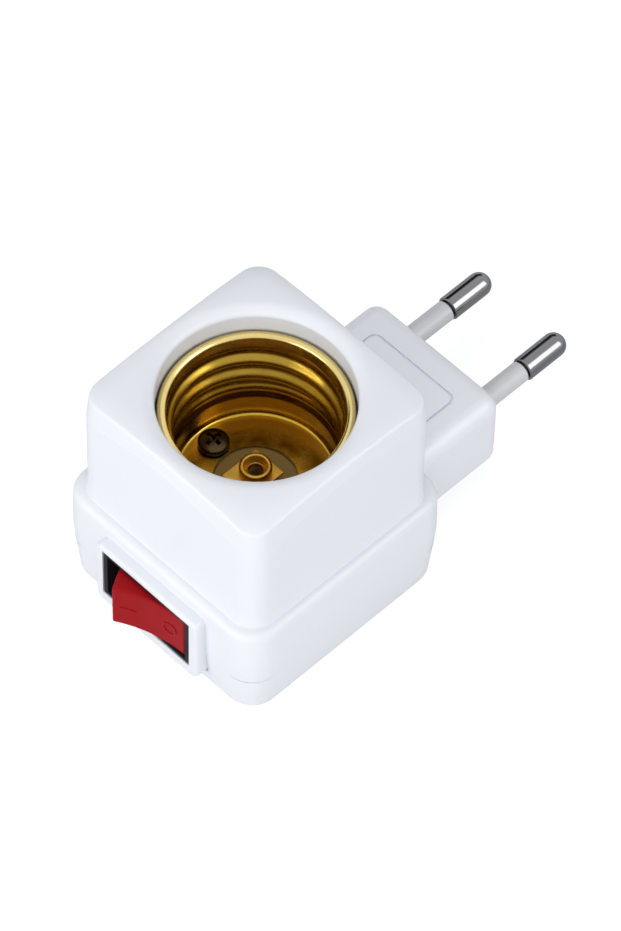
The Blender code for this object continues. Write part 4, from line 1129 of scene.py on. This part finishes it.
def build_floor():
    """A pale floor that the camera sees as white, apart from the object's soft shadow."""
    size, clearance, glow_strength = 3000.0, 0.02, 0.78
    corners = [(-size, -size, 0), (size, -size, 0), (size, size, 0), (-size, size, 0)]
    floor = make_object("floor", corners, [(0, 1, 2, 3)], location=(0.0, 0.0, -clearance))
    material, tree, output = node_material("floor")
    matte = diffuse(tree, (0.78, 0.79, 0.80))
    shadowed = diffuse(tree, (0.38, 0.38, 0.38))
    glow = tree.nodes.new("ShaderNodeEmission")
    glow.inputs["Strength"].default_value = glow_strength
    both = tree.nodes.new("ShaderNodeAddShader")
    tree.links.new(shadowed, both.inputs[0])
    tree.links.new(glow.outputs["Emission"], both.inputs[1])
    ray = tree.nodes.new("ShaderNodeLightPath").outputs
    show_mix(tree, output, ray["Is Camera Ray"], matte, both.outputs["Shader"])
    floor.data.materials.append(material)


def face_object(item, azimuth, elevation, distance):
    """Places an item in a direction given like a camera's, and turns it to the object."""
    towards = direction(azimuth, elevation)
    item.location = Vector((0.0, 0.0, AIM_HEIGHT)) + towards * distance
    item.rotation_mode = "QUATERNION"
    item.rotation_quaternion = (-towards).to_track_quat("-Z", "Y")
    item.visible_camera = False


def softbox(name, azimuth, elevation, distance, width, height, watts, glossy=True, diffuse_light=True):
    """A rectangular lamp, in metres, that may leave reflections or matt surfaces alone."""
    data = bpy.data.lights.new(name, "AREA")
    data.shape = "RECTANGLE"
    data.size = width
    data.size_y = height
    data.energy = watts
    lamp = bpy.data.objects.new(name, data)
    bpy.context.scene.collection.objects.link(lamp)
    face_object(lamp, azimuth, elevation, distance)
    lamp.visible_glossy = glossy
    lamp.visible_diffuse = diffuse_light


def flag(name, azimuth, elevation, distance, width, height, shade):
    """A dark studio card that only shows in reflections; width and height in millimetres."""
    w, h = width / 2, height / 2
    card = make_object(name, [(-w, -h, 0), (w, -h, 0), (w, h, 0), (-w, h, 0)], [(0, 1, 2, 3)])
    face_object(card, azimuth, elevation, distance)
    material, tree, output = node_material(name)
    glow = tree.nodes.new("ShaderNodeEmission")
    glow.inputs["Color"].default_value = (shade, shade, shade, 1.0)
    tree.links.new(glow.outputs["Emission"], output.inputs["Surface"])
    card.data.materials.append(material)
    card.visible_diffuse = False
    card.visible_shadow = False
    card.visible_transmission = False


def build_lights():
    """Weak lamps around the object, and a strip and a dark card that only reflections show."""
    softbox("front", 45.0, 36.0, 0.4, 0.2, 0.2, 0.26, glossy=False)
    softbox("right", 98.0, 14.0, 0.5, 0.25, 0.15, 0.56, glossy=False)
    softbox("left", -10.0, 14.0, 0.4, 0.25, 0.15, 0.56)
    softbox("top", -90.0, 80.0, 0.4, 0.25, 0.25, 0.34, glossy=False)
    softbox("strip", 121.0, 36.0, 0.6, 0.34, 0.36, 1.35, diffuse_light=False)
    flag("dark_left", 243.0, 26.0, 0.5, 700.0, 260.0, 0.03)


build_camera()
build_world()
build_floor()
build_lights()
build_pieces()

bpy.context.scene.view_settings.view_transform = "Standard"
bpy.context.view_layer.update()
